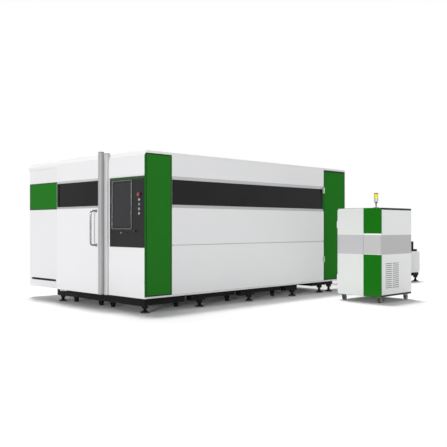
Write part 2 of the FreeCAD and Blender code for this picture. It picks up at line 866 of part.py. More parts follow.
def upright(x, y, z):
    """Post with rounded corners under a cap that is a little narrower."""
    shaft = prism("XY_Plane", [rectangle(x, y, "post_corner")],
                  f"({z[1]}) - ({z[0]}) - post_cap_height", z=z[0])
    inner = [(f"({low}) + post_cap_inset", f"({high}) - post_cap_inset") for low, high in (x, y)]
    cap = prism("XY_Plane", [rectangle(*inner, "post_cap_corner")], "post_cap_height",
                z=f"({z[1]}) - post_cap_height")
    return fuse(shaft, cap)


def door_tracks():
    """Top rail with a groove from below, and the pin that guides the door's foot."""
    top = (TOP_RAIL, f"{TOP_RAIL} + top_rail_height")
    rail = block(("-top_rail_depth", "0"), (DOOR_POST_START, "cabin_width"), top)
    groove = block((GROOVE_FRONT, f"{GROOVE_FRONT} + hanger_groove"),
                   ("0", "cabin_width + 1"),
                   (f"{TOP_RAIL} - 1", f"{TOP_RAIL} + hanger_groove_height"))
    pin_x = "-door_gap - door_depth / 2"
    arm = block((pin_x, "0"), (f"{GUIDE_PIN} - guide_pin_radius",
                               f"{GUIDE_PIN} + guide_pin_radius"),
                ("bay_bottom - 2 * guide_pin_radius", "bay_bottom"))
    toe = rod("z", pin_x, GUIDE_PIN, "bay_bottom - 2 * guide_pin_radius",
              "guide_pin_radius", "2 * guide_pin_radius + guide_groove_height")
    plate = block(("-sheet_thickness", "0"),
                  (f"{GUIDE_PIN} - hanger_length / 2", f"{GUIDE_PIN} + hanger_length / 2"),
                  ("bay_bottom - 2 * guide_pin_radius", "door_bottom + guide_groove_height"))
    return finish(group(cut(rail, groove), fuse(arm, toe, plate)), "door_tracks")


def end_door():
    """Sliding door: panel with a wide window, sloping reveals and two hangers."""
    bottom, top = "door_bottom", "cabin_height"
    outline = [("0", bottom), ("door_depth", bottom), ("door_depth", top),
               ("bevel_depth", top), ("0", WALL_TOP)]
    panel = prism("XZ_Plane", [outline], f"{DOOR_END} - {DOOR_START}", DOOR_FRONT, DOOR_START)
    inner = ("sheet_thickness", "door_depth + 1")
    hollow = block((f"{DOOR_FRONT} + {inner[0]}", f"{DOOR_FRONT} + {inner[1]}"),
                   (f"{DOOR_START} + sheet_thickness", f"{DOOR_END} - sheet_thickness"),
                   (f"{bottom} + guide_groove_height + sheet_thickness",
                    f"{WALL_TOP} - sheet_thickness"))
    low, high = DOOR_WINDOW, f"{DOOR_WINDOW} + door_window_height"
    frame = block((DOOR_FRONT, "-door_gap"), (DOOR_START, DOOR_END),
                  (f"{low} - door_trim", f"{high} + door_trim"))
    reveal = prism("XZ_Plane", [[("-1", f"{low} - door_trim"), ("0", f"{low} - door_trim"),
                                 ("trim_depth", low), ("door_depth + 1", low),
                                 ("door_depth + 1", high), ("trim_depth", high),
                                 ("0", f"{high} + door_trim"), ("-1", f"{high} + door_trim")]],
                   f"{DOOR_END} - {DOOR_START} - 2 * door_stile", DOOR_FRONT,
                   f"{DOOR_START} + door_stile")
    pin_x = "-door_gap - door_depth / 2"
    groove = block((f"{pin_x} - guide_groove / 2", f"{pin_x} + guide_groove / 2"),
                   (f"{DOOR_START} - 1", f"{DOOR_END} + 1"),
                   (f"{bottom} - 1", f"{bottom} + guide_groove_height"))
    rebate = block((f"{DOOR_FRONT} + trim_depth", "-door_gap + 1"),
                   (f"{DOOR_START} + sheet_thickness", f"{DOOR_END} - sheet_thickness"),
                   (f"{low} - trim_depth", f"{high} + trim_depth"))
    shell = cut(fuse(cut(panel, hollow), frame), reveal, groove, rebate)
    finish(fuse(shell, *door_hangers()), "door_panel")
    glass = block((f"{DOOR_FRONT} + trim_depth", f"{DOOR_FRONT} + trim_depth + glass_thickness"),
                  (f"{DOOR_START} + sheet_thickness", f"{DOOR_END} - sheet_thickness"),
                  (f"{low} - trim_depth", f"{high} + trim_depth"))
    finish(glass, "door_window")


def door_hangers():
    """Two hooked plates on the door's back whose lips ride in the top rail's groove."""
    hooks = []
    lip = (f"{GROOVE_FRONT} + (hanger_groove - hanger_thickness) / 2",
           f"{GROOVE_FRONT} + (hanger_groove + hanger_thickness) / 2")
    shelf = (f"{TOP_RAIL} - hanger_thickness - running_gap", f"{TOP_RAIL} - running_gap")
    for start in (f"{DOOR_START} + hanger_length", f"{DOOR_END} - 2 * hanger_length"):
        across = (start, f"{start} + hanger_length")
        hooks.append(block((f"{DOOR_FRONT} + sheet_thickness / 2", lip[1]), across, shelf))
        hooks.append(block(lip, across,
                           (shelf[0], f"{TOP_RAIL} + hanger_groove_height - running_gap")))
    return hooks


def door_post():
    start = DOOR_POST_START
    body = upright((f"{DOOR_FRONT} - door_post_front",
                    f"{DOOR_FRONT} - door_post_front + post_side"),
                   (start, f"{start} + post_side"),
                   ("door_bottom", "cabin_height + door_post_rise"))
    return finish(body, "door_post")


def door_handle():
    """Bent round tube standing off the door."""
    body = doc.addObject("PartDesign::Body", "Body")
    reach = "-handle_reach"
    path = sketch(body, "XZ_Plane", [[("0", "handle_bottom"), (reach, "handle_bottom", "handle_bend"),
                                      (reach, "handle_bottom + handle_height", "handle_bend"),
                                      ("0", "handle_bottom + handle_height")]], closed=False)
    ring = body.newObject("Sketcher::SketchObject", "Section")
    ring.AttachmentSupport = (origin_plane(body, "YZ_Plane"), [""])
    ring.MapMode = "FlatFace"
    centre = Vector(0, number("handle_bottom"), 0)
    edge = ring.addGeometry(Part.Circle(centre, Vector(0, 0, 1), number("handle_tube / 2")))
    pin(ring, edge, 3, "0", "handle_bottom")
    hold = Sketcher.Constraint("Diameter", edge, number("handle_tube"))
    ring.setExpression(f"Constraints[{ring.addConstraint(hold)}]", bound("handle_tube"))
    doc.recompute()
    tube = body.newObject("PartDesign::AdditivePipe", "Tube")
    tube.Profile = ring
    tube.Spine = (path, [f"Edge{k + 1}" for k in range(path.GeometryCount)])
    put(body, DOOR_FRONT, f"{DOOR_START} + handle_start")
    return finish(body, "door_handle")


def console():
    """Fascia with switch holes and a port cover, and the screen in its bezel."""
    plate = block((FASCIA, "0"), ("0", "console_width"),
                  ("console_bottom", "console_bottom + console_height"))
    through = "console_depth + 2"
    holes = [rod("x", f"{FASCIA} - 1", "switch_line", height, "button_radius + fit_gap", through)
             for height in ["stop_height"] + button_heights()]
    holes.append(rod("x", f"{FASCIA} - 1", "knob_place", "knob_height", "knob_stem + fit_gap",
                     through))
    holes.append(rod("x", f"{FASCIA} - 1", "latch_place", "latch_height",
                     "knob_stem + fit_gap", through))
    cover = block((f"{FASCIA} - port_proud", FASCIA), ("port_start", "port_start + port_width"),
                  ("port_bottom", "port_bottom + port_height"))
    finish(fuse(cut(plate, *holes), cover), "console_fascia")
    across = ("screen_start", "screen_start + screen_width")
    tall = ("screen_bottom", "screen_bottom + screen_height")
    front = (f"{FASCIA} - bezel_proud", FASCIA)
    inner = (("screen_start + screen_border", "screen_start + screen_width - screen_border"),
             ("screen_bottom + screen_border", "screen_bottom + screen_height - screen_border"))
    bezel = cut(block(front, across, tall), block((f"{front[0]} - 1", "0"), *inner))
    finish(bezel, "screen_bezel")
    finish(block((f"{front[0]} + screen_sink", FASCIA), *inner), "screen")


def button_heights():
    return [f"button_top - {step} * button_pitch" for step in range(4)]


def switch_collars():
    """Rings round the stop button and the four push buttons."""
    rings = []
    for radius, height in [("stop_collar", "stop_height")] + [
            ("button_collar", height) for height in button_heights()]:
        ring = rod("x", f"{FASCIA} - collar_height", "switch_line", height, radius, "collar_height")
        bore = rod("x", f"{FASCIA} - collar_height - 1", "switch_line", height,
                   "button_radius + fit_gap", "collar_height + 2")
        rings.append(cut(ring, bore))
    return finish(group(*rings), "switch_collars")


def switches():
    face = f"{FASCIA} - collar_height"
    start = f"{face} - stop_travel - button_proud"
    whole = "stop_head + button_length"
    mushroom = [("0", "0"), ("stop_radius", "0", "stop_round"), ("stop_radius", "stop_head"),
                ("button_radius", "stop_head"), ("button_radius", whole), ("0", whole)]
    finish(turned(mushroom, f"{start} - stop_head", "switch_line", "stop_height", "x"),
           "stop_button")
    shaft = [("0", "0"), ("button_radius", "0", "button_round"),
             ("button_radius", "button_length"), ("0", "button_length")]
    for step, height in enumerate(button_heights(), start=1):
        button = turned(shaft, f"{face} - button_travel - button_proud", "switch_line", height, "x")
        finish(button, f"push_button_{step}")
    cap = turned([("0", "0"), ("knob_radius", "0", "knob_round"), ("knob_radius", "knob_length"),
                  ("0", "knob_length")], f"{FASCIA} - running_gap - knob_length", "knob_place",
                 "knob_height", "x")
    grip = block((f"{FASCIA} - running_gap - knob_length - knob_grip", f"{FASCIA} - knob_length"),
                 ("knob_place - knob_grip_width / 2", "knob_place + knob_grip_width / 2"),
                 ("knob_height - knob_radius + grip_inset", "knob_height + knob_radius - grip_inset"))
    pivot = rod("x", f"{FASCIA} - running_gap", "knob_place", "knob_height", "knob_stem",
                "console_depth - 1")
    finish(fuse(cap, grip, pivot), "selector_knob")
    cap = rod("x", f"{FASCIA} - running_gap - latch_cap", "latch_place", "latch_height",
              "latch_radius", "latch_cap")
    wing = block((f"{FASCIA} - running_gap - latch_cap - latch_wing", f"{FASCIA} - latch_cap"),
                 ("latch_place - latch_wing_width / 2", "latch_place + latch_wing_width / 2"),
                 ("latch_height - latch_radius + grip_inset",
                  "latch_height + latch_radius - grip_inset"))
    pivot = rod("x", f"{FASCIA} - running_gap", "latch_place", "latch_height", "knob_stem",
                "console_depth - 1")
    finish(fuse(cap, wing, pivot), "quarter_turn_latch")


# -------------------------------------------------------------------------- gantry
def x_rails():
    along = ("rail_end", "bed_length - rail_end / 2")
    rail = ("rail_place - rail_width / 2", "rail_place + rail_width / 2")
    rack = ("rail_place + rack_offset", "rail_place + rack_offset + rack_width")
    tall = ("side_beam_top", "side_beam_top + rail_height")
    pieces = [block(along, span, tall) for span in (rail, mirrored(rail), rack, mirrored(rack))]
    return finish(group(*pieces), "x_rails")


def gantry_beam():
    """Box beam on two trucks that straddle the rails, with guide ribs on its face."""
    front = ("gantry_place", "gantry_place + gantry_depth")
    near = ("rail_place - truck_width / 2", "rail_place + truck_width / 2")
    across = (near[0], f"process_width - ({near[0]})")
    tall = ("gantry_bottom", "gantry_bottom + gantry_height")
    pieces = [block(front, across, tall)]
    middle = "gantry_place + gantry_depth / 2"
    along = (f"{middle} - truck_length / 2", f"{middle} + truck_length / 2")
    groove = ("rail_place - rail_width / 2 - running_gap", "rail_place + rail_width / 2 + running_gap")
    for turn in (lambda span: span, mirrored):
        truck = block(along, turn(near), ("side_beam_top + running_gap", "gantry_bottom"))
        slot = block((f"{along[0]} - 1", f"{along[1]} + 1"), turn(groove),
                     ("side_beam_top", "side_beam_top + rail_height + running_gap"))
        pieces.append(cut(truck, slot))
    for level in rib_levels():
        pieces.append(block(("gantry_place - guide_rib", "gantry_place"), across,
                            (level, f"{level} + guide_rib_height")))
    return finish(fuse(*pieces), "gantry_beam")


def rib_levels():
    return ("gantry_bottom + guide_rib_height",
            "gantry_bottom + gantry_height - 2 * guide_rib_height")


def carriage():
    """Cross carriage, the vertical slide on it and the cutting head."""
    rear = "gantry_place - guide_rib - running_gap"
    across = ("carriage_place", "carriage_place + carriage_width")
    plate = block((f"{rear} - carriage_depth", rear), across,
                  ("carriage_bottom", "carriage_bottom + carriage_height"))
    finish(plate, "cross_carriage")
    middle = "carriage_place + carriage_width / 2"
    back = f"{rear} - carriage_depth"
    front = f"{back} - slide_depth"
    plate = block((front, back), (f"{middle} - slide_width / 2", f"{middle} + slide_width / 2"),
                  ("slide_bottom", "slide_bottom + slide_height"))
    finish(plate, "z_slide")
    barrel = [("0", "0"), ("nozzle_tip", "0"), ("head_radius - head_taper", "nozzle_height"),
              ("head_radius", "nozzle_height"), ("head_radius", "head_height"),
              ("0", "head_height")]
    head = turned(barrel, f"{front} - head_radius", middle, "nozzle_bottom")
    clamp = block((f"{front} - head_radius", front),
                  (f"{middle} - head_radius + clamp_inset", f"{middle} + head_radius - clamp_inset"),
                  ("slide_bottom", "nozzle_bottom + head_height - head_radius"))
    finish(fuse(head, clamp), "cutting_head")


# ------------------------------------------------------------------------- pallets
def pallet(name, start, level):
    """Ladder frame that carries a comb of toothed slats."""
    along = (start, f"{start} + pallet_length")
    tall = (level, f"{level} + pallet_height")
    side = (PALLET_START, f"{PALLET_START} + pallet_member")
    inner = (side[1], f"process_width - ({side[1]})")
    pieces = [block(along, span, tall) for span in (side, mirrored(side))]
    for first in (along[0], f"{along[1]} - pallet_member"):
        pieces.append(block((first, f"{first} + pallet_member"), inner, tall))
    finish(group(*pieces), name + "_pallet")
    finish(slats(start, level, inner), name + "_slats")


def slats(start, level, inner):
    """One toothed strip, repeated along the pallet."""
    body = doc.addObject("PartDesign::Body", "Body")
    body.AllowCompound = True
    span = f"({inner[1]} - ({inner[0]}))"
    outline = [("0", "0"), (span, "0")]
    teeth = SIZES["tooth_count"]
    for step in range(teeth, 0, -1):
        outline.append((f"{span} * {step} / {teeth}", "slat_height - tooth_height"))
        outline.append((f"{span} * ({step} - 0.5) / {teeth}", "slat_height"))
    outline.append(("0", "slat_height - tooth_height"))
    strip = body.newObject("PartDesign::Pad", "Strip")
    profile = sketch(body, "YZ_Plane", [outline])
    strip.Profile = profile
    bind(strip, Length="slat_thickness")
    doc.recompute()
    row = body.newObject("PartDesign::LinearPattern", "Row")
    row.Originals = [strip]
    row.Direction = (profile, ["N_Axis"])
    row.Mode = "Spacing"
    bind(row, Offset="slat_pitch", Occurrences="slat_count")
    body.Tip = row
    return put(body, f"{start} + slat_start", inner[0], f"{level} + pallet_height + slat_rise - slat_height")


# ------------------------------------------------------------------ exchange table
def exchange_frame():
    """Foot pads, cross members, side beams and track ledges of the exchange table."""
    sill = ("exchange_sill_start", "exchange_sill_start + sill_width")
    low = ("exchange_sill_bottom", "skirt_height")
    pieces, legs = [], []
    for name in ("five", "six", "seven", "eight"):
        foot = exchange_foot(name)
        start = EXCHANGE_START if name == "five" else f"{foot} - exchange_pad"
        for span in (sill, mirrored(sill)):
            pieces.append(block((start, f"{foot} + foot_pad"), span, low))
        legs.append((start, f"{start} + exchange_leg"))
    inner = (sill[1], f"process_width - ({sill[1]})")
    beam = ("exchange_beam_start", SIDE_BEAM_END)
    beam_along = (EXCHANGE_START, f"{EXCHANGE_END} - exchange_leg / 2")
    for leg in legs:
        pieces.append(block(leg, inner, low))
        for span in (beam, mirrored(beam)):
            pieces.append(block(leg, span, ("skirt_height", "exchange_beam_bottom")))
    for span in (beam, mirrored(beam)):
        pieces.append(block(beam_along, span, ("exchange_beam_bottom", "exchange_beam_top")))
    pieces += ledges(beam_along)
    return finish(group(*pieces), "exchange_frame")


def exchange_covers():
    """White side housings of the exchange table, rounded at the outer end."""
    covers = []
    side = ("exchange_sill_start", "exchange_beam_start")
    wall = "sheet_thickness"
    for span, inside in ((side, (f"{side[0]} + {wall}", f"{side[1]} + 1")),
                         (mirrored(side), (f"process_width - ({side[1]}) - 1",
                                           f"process_width - ({side[0]}) - {wall}"))):
        outline = [("cabin_length", "skirt_height"), (EXCHANGE_END, "skirt_height", "cover_radius"),
                   (EXCHANGE_END, "cover_top", "cover_radius"), ("cabin_length", "cover_top")]
        housing = prism("XZ_Plane", [outline], f"({span[1]}) - ({span[0]})", y=span[0])
        hollow = block((f"cabin_length + {wall}", f"{EXCHANGE_END} - cover_radius"), inside,
                       (f"skirt_height + {wall}", f"cover_top - {wall}"))
        covers.append(cut(housing, hollow))
    return finish(group(*covers), "exchange_covers")


def end_brackets():
    """Black L-shaped brackets on top of the two housings."""
    left = BRACKET_START
    outline = [(left, "cover_top"), (f"{left} + bracket_width", "cover_top"),
               (f"{left} + bracket_width", "cover_top + bracket_bar"),
               (f"{left} + bracket_leg", "cover_top + bracket_bar"),
               (f"{left} + bracket_leg", "cover_top + bracket_height"),
               (left, "cover_top + bracket_height")]
    place = ("bracket_place", "bracket_place + bracket_depth")
    pieces = [prism("XZ_Plane", [outline], "bracket_depth", y=span[0])
              for span in (place, mirrored(place))]
    return finish(group(*pieces), "end_brackets")


# ---------------------------------------------------------------- separate cabinet
def cabinet():
    """Panels round the hollow of the source cabinet."""
    tall = (CABINET_LOW, CABINET_HIGH)
    along = (CABINET_BODY, "cabinet_place + cabinet_depth")
    wall = "cabinet_wall"
    across = (CABINET_NEAR, CABINET_FAR)
    inner = (f"{across[0]} + {wall}", f"{across[1]} - {wall}")
    side = block(along, (across[0], inner[0]), tall)
    pieces = [
        cut(side, louvres()),
        block(along, (inner[1], across[1]), tall),
        block((f"{along[1]} - {wall}", along[1]), inner, tall),
        block((along[0], f"{along[1]} - {wall}"), inner, (tall[0], f"{tall[0]} + {wall}")),
        block((along[0], f"{along[1]} - {wall}"), inner, (f"{tall[1]} - {wall}", tall[1])),
        block((along[0], f"{along[1]} - {wall}"), (f"{COLUMN_END} - {wall}", COLUMN_END),
              (f"{tall[0]} + {wall}", f"{tall[1]} - {wall}")),
    ]
    finish(group(*pieces), "cabinet_shell")
    skin = ("cabinet_place", CABINET_BODY)
    column = [(across[0], "cabinet_base", "face_corner"),
              (COLUMN_END, "cabinet_base", "face_edge"),
              (COLUMN_END, "cabinet_top", "face_edge"),
              (across[0], "cabinet_top", "face_corner")]
    finish(prism("YZ_Plane", [column], "cabinet_skin", x=skin[0]), "cabinet_column")
    start = f"{COLUMN_END} + door_seam"
    low, high = "cabinet_base + door_seam", "cabinet_top - door_seam"
    door = [(start, low, "face_edge"), (across[1], low, "face_corner"),
            (across[1], high, "face_corner"), (start, high, "face_edge")]
    finish(prism("YZ_Plane", [door], "cabinet_skin - running_gap", x=skin[0]), "cabinet_door")
    whole = [(along[0], across[0]), (along[1], across[0], "cabinet_corner"),
             (along[1], across[1], "cabinet_corner"), (along[0], across[1])]
    lid = prism("XY_Plane", [whole], "cabinet_lid_height", z=CABINET_HIGH)
    base = prism("XY_Plane", [whole], "cabinet_base_plate", z="cabinet_base")
    finish(group(lid, base), "cabinet_lid_and_base")


def louvres():
    """Two columns of long slots, one pocket repeated upwards and across."""
    slots = []
    for column in range(2):
        start = f"cabinet_place + louvre_start + {column} * louvre_column_pitch"
        body = doc.addObject("PartDesign::Body", "Body")
        body.AllowCompound = True
        outline = [("0", "0"), ("louvre_length", "0"), ("louvre_length", "louvre_height"),
                   ("0", "louvre_height")]
        profile = sketch(body, "XZ_Plane", [outline])
        pad = body.newObject("PartDesign::Pad", "Slot")
        pad.Profile = profile
        pad.Reversed = True
        bind(pad, Length="louvre_depth + 1")
        doc.recompute()
        row = body.newObject("PartDesign::LinearPattern", "Rows")
        row.Originals = [pad]
        row.Direction = (profile, ["V_Axis"])
        row.Mode = "Spacing"
        bind(row, Offset="louvre_pitch", Occurrences="louvre_rows")
        body.Tip = row
        slots.append(put(body, start, f"{CABINET_NEAR} - 1", "louvre_bottom"))
    return group(*slots)


def casters():
    """Four swivel casters: a fork under the base plate and a wheel on its axle."""
    ends = ("cabinet_place + caster_inset", "cabinet_place + cabinet_depth - caster_inset")
    sides = (f"{CABINET_NEAR} + caster_inset", f"{CABINET_FAR} - caster_inset")
    for step, (x, y) in enumerate(((x, y) for x in ends for y in sides), start=1):
        half = "(wheel_width / 2 + fork_gap)"
        top = "cabinet_base - running_gap"
        plate = block((f"{x} - caster_half_plate", f"{x} + caster_half_plate"),
                      (f"{y} - caster_half_plate", f"{y} + caster_half_plate"),
                      (f"{top} - caster_plate", top))
        axle_x = f"{x} + caster_trail"
        cheeks = [block((f"{x} - fork_margin", f"{axle_x} + fork_margin"), span,
                        ("wheel_radius - fork_end", f"{top} - caster_plate"))
                  for span in ((f"{y} - {half} - fork_thickness", f"{y} - {half}"),
                               (f"{y} + {half}", f"{y} + {half} + fork_thickness"))]
        axle = rod("y", axle_x, f"{y} - {half}", "wheel_radius", "wheel_axle", f"2 * {half}")
        finish(fuse(plate, *cheeks, axle), f"caster_fork_{step}")
        bore = "wheel_axle + fit_gap / 2"
        tyre = [(bore, "0"), ("wheel_radius", "0", "wheel_round"),
                ("wheel_radius", "wheel_width", "wheel_round"), (bore, "wheel_width")]
        finish(turned(tyre, axle_x, f"{y} - wheel_width / 2", "wheel_radius", "y"),
               f"caster_wheel_{step}")


def beacon():
    """Signal beacon: flanged stem and neck, then amber and red lenses."""
    x = "cabinet_place + beacon_x"
    y = f"{CABINET_NEAR} + beacon_y"
    mast = [("0", "0"), ("beacon_flange", "0"), ("beacon_flange", "beacon_flange_height"),
            ("beacon_stem", "beacon_flange_height"), ("beacon_stem", "beacon_stem_top"),
            ("beacon_radius", "beacon_neck_top"), ("beacon_radius", "beacon_body_top"),
            ("0", "beacon_body_top")]
    finish(turned(mast, x, y, "cabinet_top"), "beacon_mast")
    amber = [("0", "beacon_body_top"), ("beacon_radius", "beacon_body_top"),
             ("beacon_radius", "beacon_amber_top"), ("0", "beacon_amber_top")]
    red = [("0", "beacon_amber_top"), ("beacon_radius", "beacon_amber_top"),
           ("beacon_radius", "beacon_red_top", "beacon_round"), ("0", "beacon_red_top")]
    finish(group(turned(amber, x, y, "cabinet_top"), turned(red, x, y, "cabinet_top")),
           "beacon_lights")


# --------------------------------------------------------------------------- build
bed_frame()
levelling_feet()
bed_jacks()
cabin_frame()
end_wall()
near_pillar()
side_panels()
window_trim()
roof()
rear_bay()
far_portal()
lift_gate()
service_door()
hinges()
fixed_post()
door_tracks()
end_door()
door_post()
door_handle()
console()
switch_collars()
switches()
x_rails()
gantry_beam()
carriage()
pallet("upper", "pallet_place", "upper_track")
pallet("lower", "(cabin_length - pallet_overlap)", "lower_track")
exchange_frame()
exchange_covers()
end_brackets()
cabinet()
casters()
beacon()

doc.recompute()
faults = [f"{item.Label}: {item.State}" for item in doc.Objects
          if "Invalid" in item.State or "Error" in item.State]
faults += [f"{item.Label}: shape" for item in finished
           if item.Shape.isNull() or not item.Shape.isValid()]
if faults:
    raise RuntimeError("failed features: " + "; ".join(faults))
for item in finished:
    item.Shape.exportStep(f"parts/{item.Label}.step")
print(len(finished), "sub-parts")
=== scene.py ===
"""Looks of the laser cutting machine: finishes for every CAD node, the small fittings as
worked-out surfaces, a pale studio and the camera of the photograph."""
import math

import bmesh
import bpy
import numpy as np
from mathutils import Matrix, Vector


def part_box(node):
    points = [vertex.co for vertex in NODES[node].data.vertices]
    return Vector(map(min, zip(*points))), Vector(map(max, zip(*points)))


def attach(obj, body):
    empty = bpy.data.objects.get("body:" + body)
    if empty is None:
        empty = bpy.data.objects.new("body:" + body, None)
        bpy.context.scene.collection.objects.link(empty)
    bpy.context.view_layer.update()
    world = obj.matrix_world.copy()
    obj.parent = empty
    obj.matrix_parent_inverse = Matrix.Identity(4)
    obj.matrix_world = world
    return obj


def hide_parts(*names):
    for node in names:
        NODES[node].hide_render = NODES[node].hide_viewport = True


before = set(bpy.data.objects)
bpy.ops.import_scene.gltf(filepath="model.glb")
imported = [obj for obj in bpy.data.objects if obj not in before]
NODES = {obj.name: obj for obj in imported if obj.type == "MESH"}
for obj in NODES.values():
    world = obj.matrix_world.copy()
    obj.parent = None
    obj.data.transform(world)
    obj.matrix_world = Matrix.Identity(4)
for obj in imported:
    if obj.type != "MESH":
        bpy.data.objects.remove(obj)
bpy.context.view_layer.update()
MM = 0.001


def span(node):
    """Lowest and highest corner of a CAD node as arrays."""
    low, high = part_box(node)
    return np.array(low), np.array(high)


# ------------------------------------------------------------------ shader node helpers
def srgb(red, green, blue):
    """Colour from 0-255 screen values to the linear values that a shader takes."""
    value = np.array([red, green, blue]) / 255
    linear = np.where(value <= 0.04045, value / 12.92, ((value + 0.055) / 1.055) ** 2.4)
    return (*linear.tolist(), 1.0)


def fill(tree, node, inputs):
    """Give a node's inputs their values, or link outputs to them; {socket: value}."""
    for socket, value in inputs.items():
        if isinstance(value, bpy.types.NodeSocket):
            tree.links.new(value, node.inputs[socket])
        else:
            node.inputs[socket].default_value = value
    return node


def add(tree, kind, inputs=(), **settings):
    """One shader node with its settings and filled inputs."""
    node = tree.nodes.new("ShaderNode" + kind)
    for name, value in settings.items():
        setattr(node, name, value)
    return fill(tree, node, dict(inputs))


def maths(tree, operation, first, second=0.0, clamp=False):
    """Result of one sum on values or sockets."""
    return add(tree, "Math", {0: first, 1: second}, operation=operation,
               use_clamp=clamp).outputs[0]


def blend(tree, factor, first, second, blend_type="MIX"):
    """Mix of two colours: sockets 0, 6 and 7 take the factor and the colours, 2 gives it."""
    return add(tree, "Mix", {0: factor, 6: first, 7: second}, data_type="RGBA",
               blend_type=blend_type).outputs[2]


def noise(tree, place, scale, detail=2.0, rough=0.5):
    """Cloudy value between 0 and 1."""
    return add(tree, "TexNoise", {"Vector": place, "Scale": scale, "Detail": detail,
                                  "Roughness": rough}).outputs["Fac"]


def stretch(tree, place, scale):
    """Place with each axis scaled."""
    return add(tree, "Mapping", {"Vector": place, "Scale": scale}).outputs[0]


def new_group(name, inputs, outputs):
    """Empty node group; inputs as (name, kind, value), outputs as (name, kind)."""
    tree = bpy.data.node_groups.new(name, "ShaderNodeTree")
    kinds = {"value": "NodeSocketFloat", "colour": "NodeSocketColor",
             "vector": "NodeSocketVector"}
    for label, kind, value in inputs:
        socket = tree.interface.new_socket(label, in_out="INPUT", socket_type=kinds[kind])
        socket.default_value = value
    for label, kind in outputs:
        tree.interface.new_socket(label, in_out="OUTPUT", socket_type=kinds[kind])
    start, end = tree.nodes.new("NodeGroupInput"), tree.nodes.new("NodeGroupOutput")
    return tree, start.outputs, lambda label, socket: tree.links.new(socket, end.inputs[label])


def use(tree, group, **values):
    """Place a node group; keyword names are its inputs with spaces as underscores."""
    node = tree.nodes.new("ShaderNodeGroup")
    node.node_tree = group
    inputs = {name.replace("_", " "): value for name, value in values.items()}
    return fill(tree, node, inputs).outputs


def object_place(tree):
    """Object coordinates, which are metres of the frame on every piece."""
    return add(tree, "TexCoord").outputs["Object"]


# --------------------------------------------------------------------- shared effects
def powder_coat_group():
    """Fine pebbled height, broad mottle of the colour and a little change of gloss."""
    tree, given, give = new_group(
        "powder_coat",
        [("Place", "vector", (0, 0, 0)), ("Colour", "colour", (1, 1, 1, 1)),
         ("Mottle", "value", 0.03), ("Pebble Scale", "value", 420.0), ("Gloss", "value", 0.4)],
        [("Colour", "colour"), ("Roughness", "value"), ("Height", "value")])
    pebble = noise(tree, given["Place"], given["Pebble Scale"], detail=3.0)
    broad = noise(tree, given["Place"], scale=1.7, detail=4.0, rough=0.6)
    gloss_change = 0.12
    centred = maths(tree, "SUBTRACT", broad, 0.5)
    shade = maths(tree, "ADD", maths(tree, "MULTIPLY", centred, given["Mottle"]), 1.0)
    tone = add(tree, "CombineColor", {0: shade, 1: shade, 2: shade}).outputs[0]
    give("Colour", blend(tree, 1.0, given["Colour"], tone, "MULTIPLY"))
    duller = maths(tree, "MULTIPLY", centred, gloss_change)
    give("Roughness", maths(tree, "ADD", duller, given["Gloss"]))
    give("Height", pebble)
    return tree


def height_band_group():
    """1 between two heights of the object, 0 outside, over a soft edge."""
    tree, given, give = new_group(
        "height_band",
        [("Place", "vector", (0, 0, 0)), ("Low", "value", 0.0), ("High", "value", 1.0),
         ("Edge", "value", 0.001)], [("Mask", "value")])
    height = add(tree, "SeparateXYZ", {0: given["Place"]}).outputs[2]

    def step(level, sign):
        gap = maths(tree, "SUBTRACT", height, level)
        ratio = maths(tree, "DIVIDE", maths(tree, "MULTIPLY", gap, sign), given["Edge"])
        return maths(tree, "ADD", ratio, 0.5, clamp=True)

    give("Mask", maths(tree, "MULTIPLY", step(given["Low"], 1.0), step(given["High"], -1.0)))
    return tree


def floor_dust_group():
    """Thin dust that fades out with height above the floor, broken up by noise."""
    tree, given, give = new_group(
        "floor_dust",
        [("Place", "vector", (0, 0, 0)), ("Colour", "colour", (1, 1, 1, 1)),
         ("Dust Colour", "colour", srgb(176, 170, 160)), ("Amount", "value", 0.2),
         ("Reach", "value", 0.25)], [("Colour", "colour"), ("Mask", "value")])
    height = add(tree, "SeparateXYZ", {0: given["Place"]}).outputs[2]
    low = maths(tree, "SUBTRACT", 1.0, maths(tree, "DIVIDE", height, given["Reach"]), clamp=True)
    cloud = noise(tree, given["Place"], scale=9.0, detail=5.0, rough=0.65)
    mask = maths(tree, "MULTIPLY", maths(tree, "MULTIPLY", low, cloud), given["Amount"], clamp=True)
    give("Colour", blend(tree, mask, given["Colour"], given["Dust Colour"]))
    give("Mask", mask)
    return tree


def metal_grain_group():
    """Long fine streaks along one axis, for ground, drawn or brushed metal."""
    tree, given, give = new_group(
        "metal_grain",
        [("Place", "vector", (0, 0, 0)), ("Stretch", "vector", (1, 1, 1)),
         ("Colour", "colour", (1, 1, 1, 1)), ("Contrast", "value", 0.15),
         ("Gloss", "value", 0.3)],
        [("Colour", "colour"), ("Roughness", "value"), ("Height", "value")])
    place = add(tree, "VectorMath", {0: given["Place"], 1: given["Stretch"]},
                operation="MULTIPLY").outputs[0]
    streak = noise(tree, place, scale=60.0, detail=5.0, rough=0.7)
    gloss_change = 0.35
    centred = maths(tree, "SUBTRACT", streak, 0.5)
    shade = maths(tree, "ADD", maths(tree, "MULTIPLY", centred, given["Contrast"]), 1.0)
    tone = add(tree, "CombineColor", {0: shade, 1: shade, 2: shade}).outputs[0]
    give("Colour", blend(tree, 1.0, given["Colour"], tone, "MULTIPLY"))
    duller = maths(tree, "MULTIPLY", centred, gloss_change)
    give("Roughness", maths(tree, "ADD", duller, given["Gloss"]))
    give("Height", streak)
    return tree


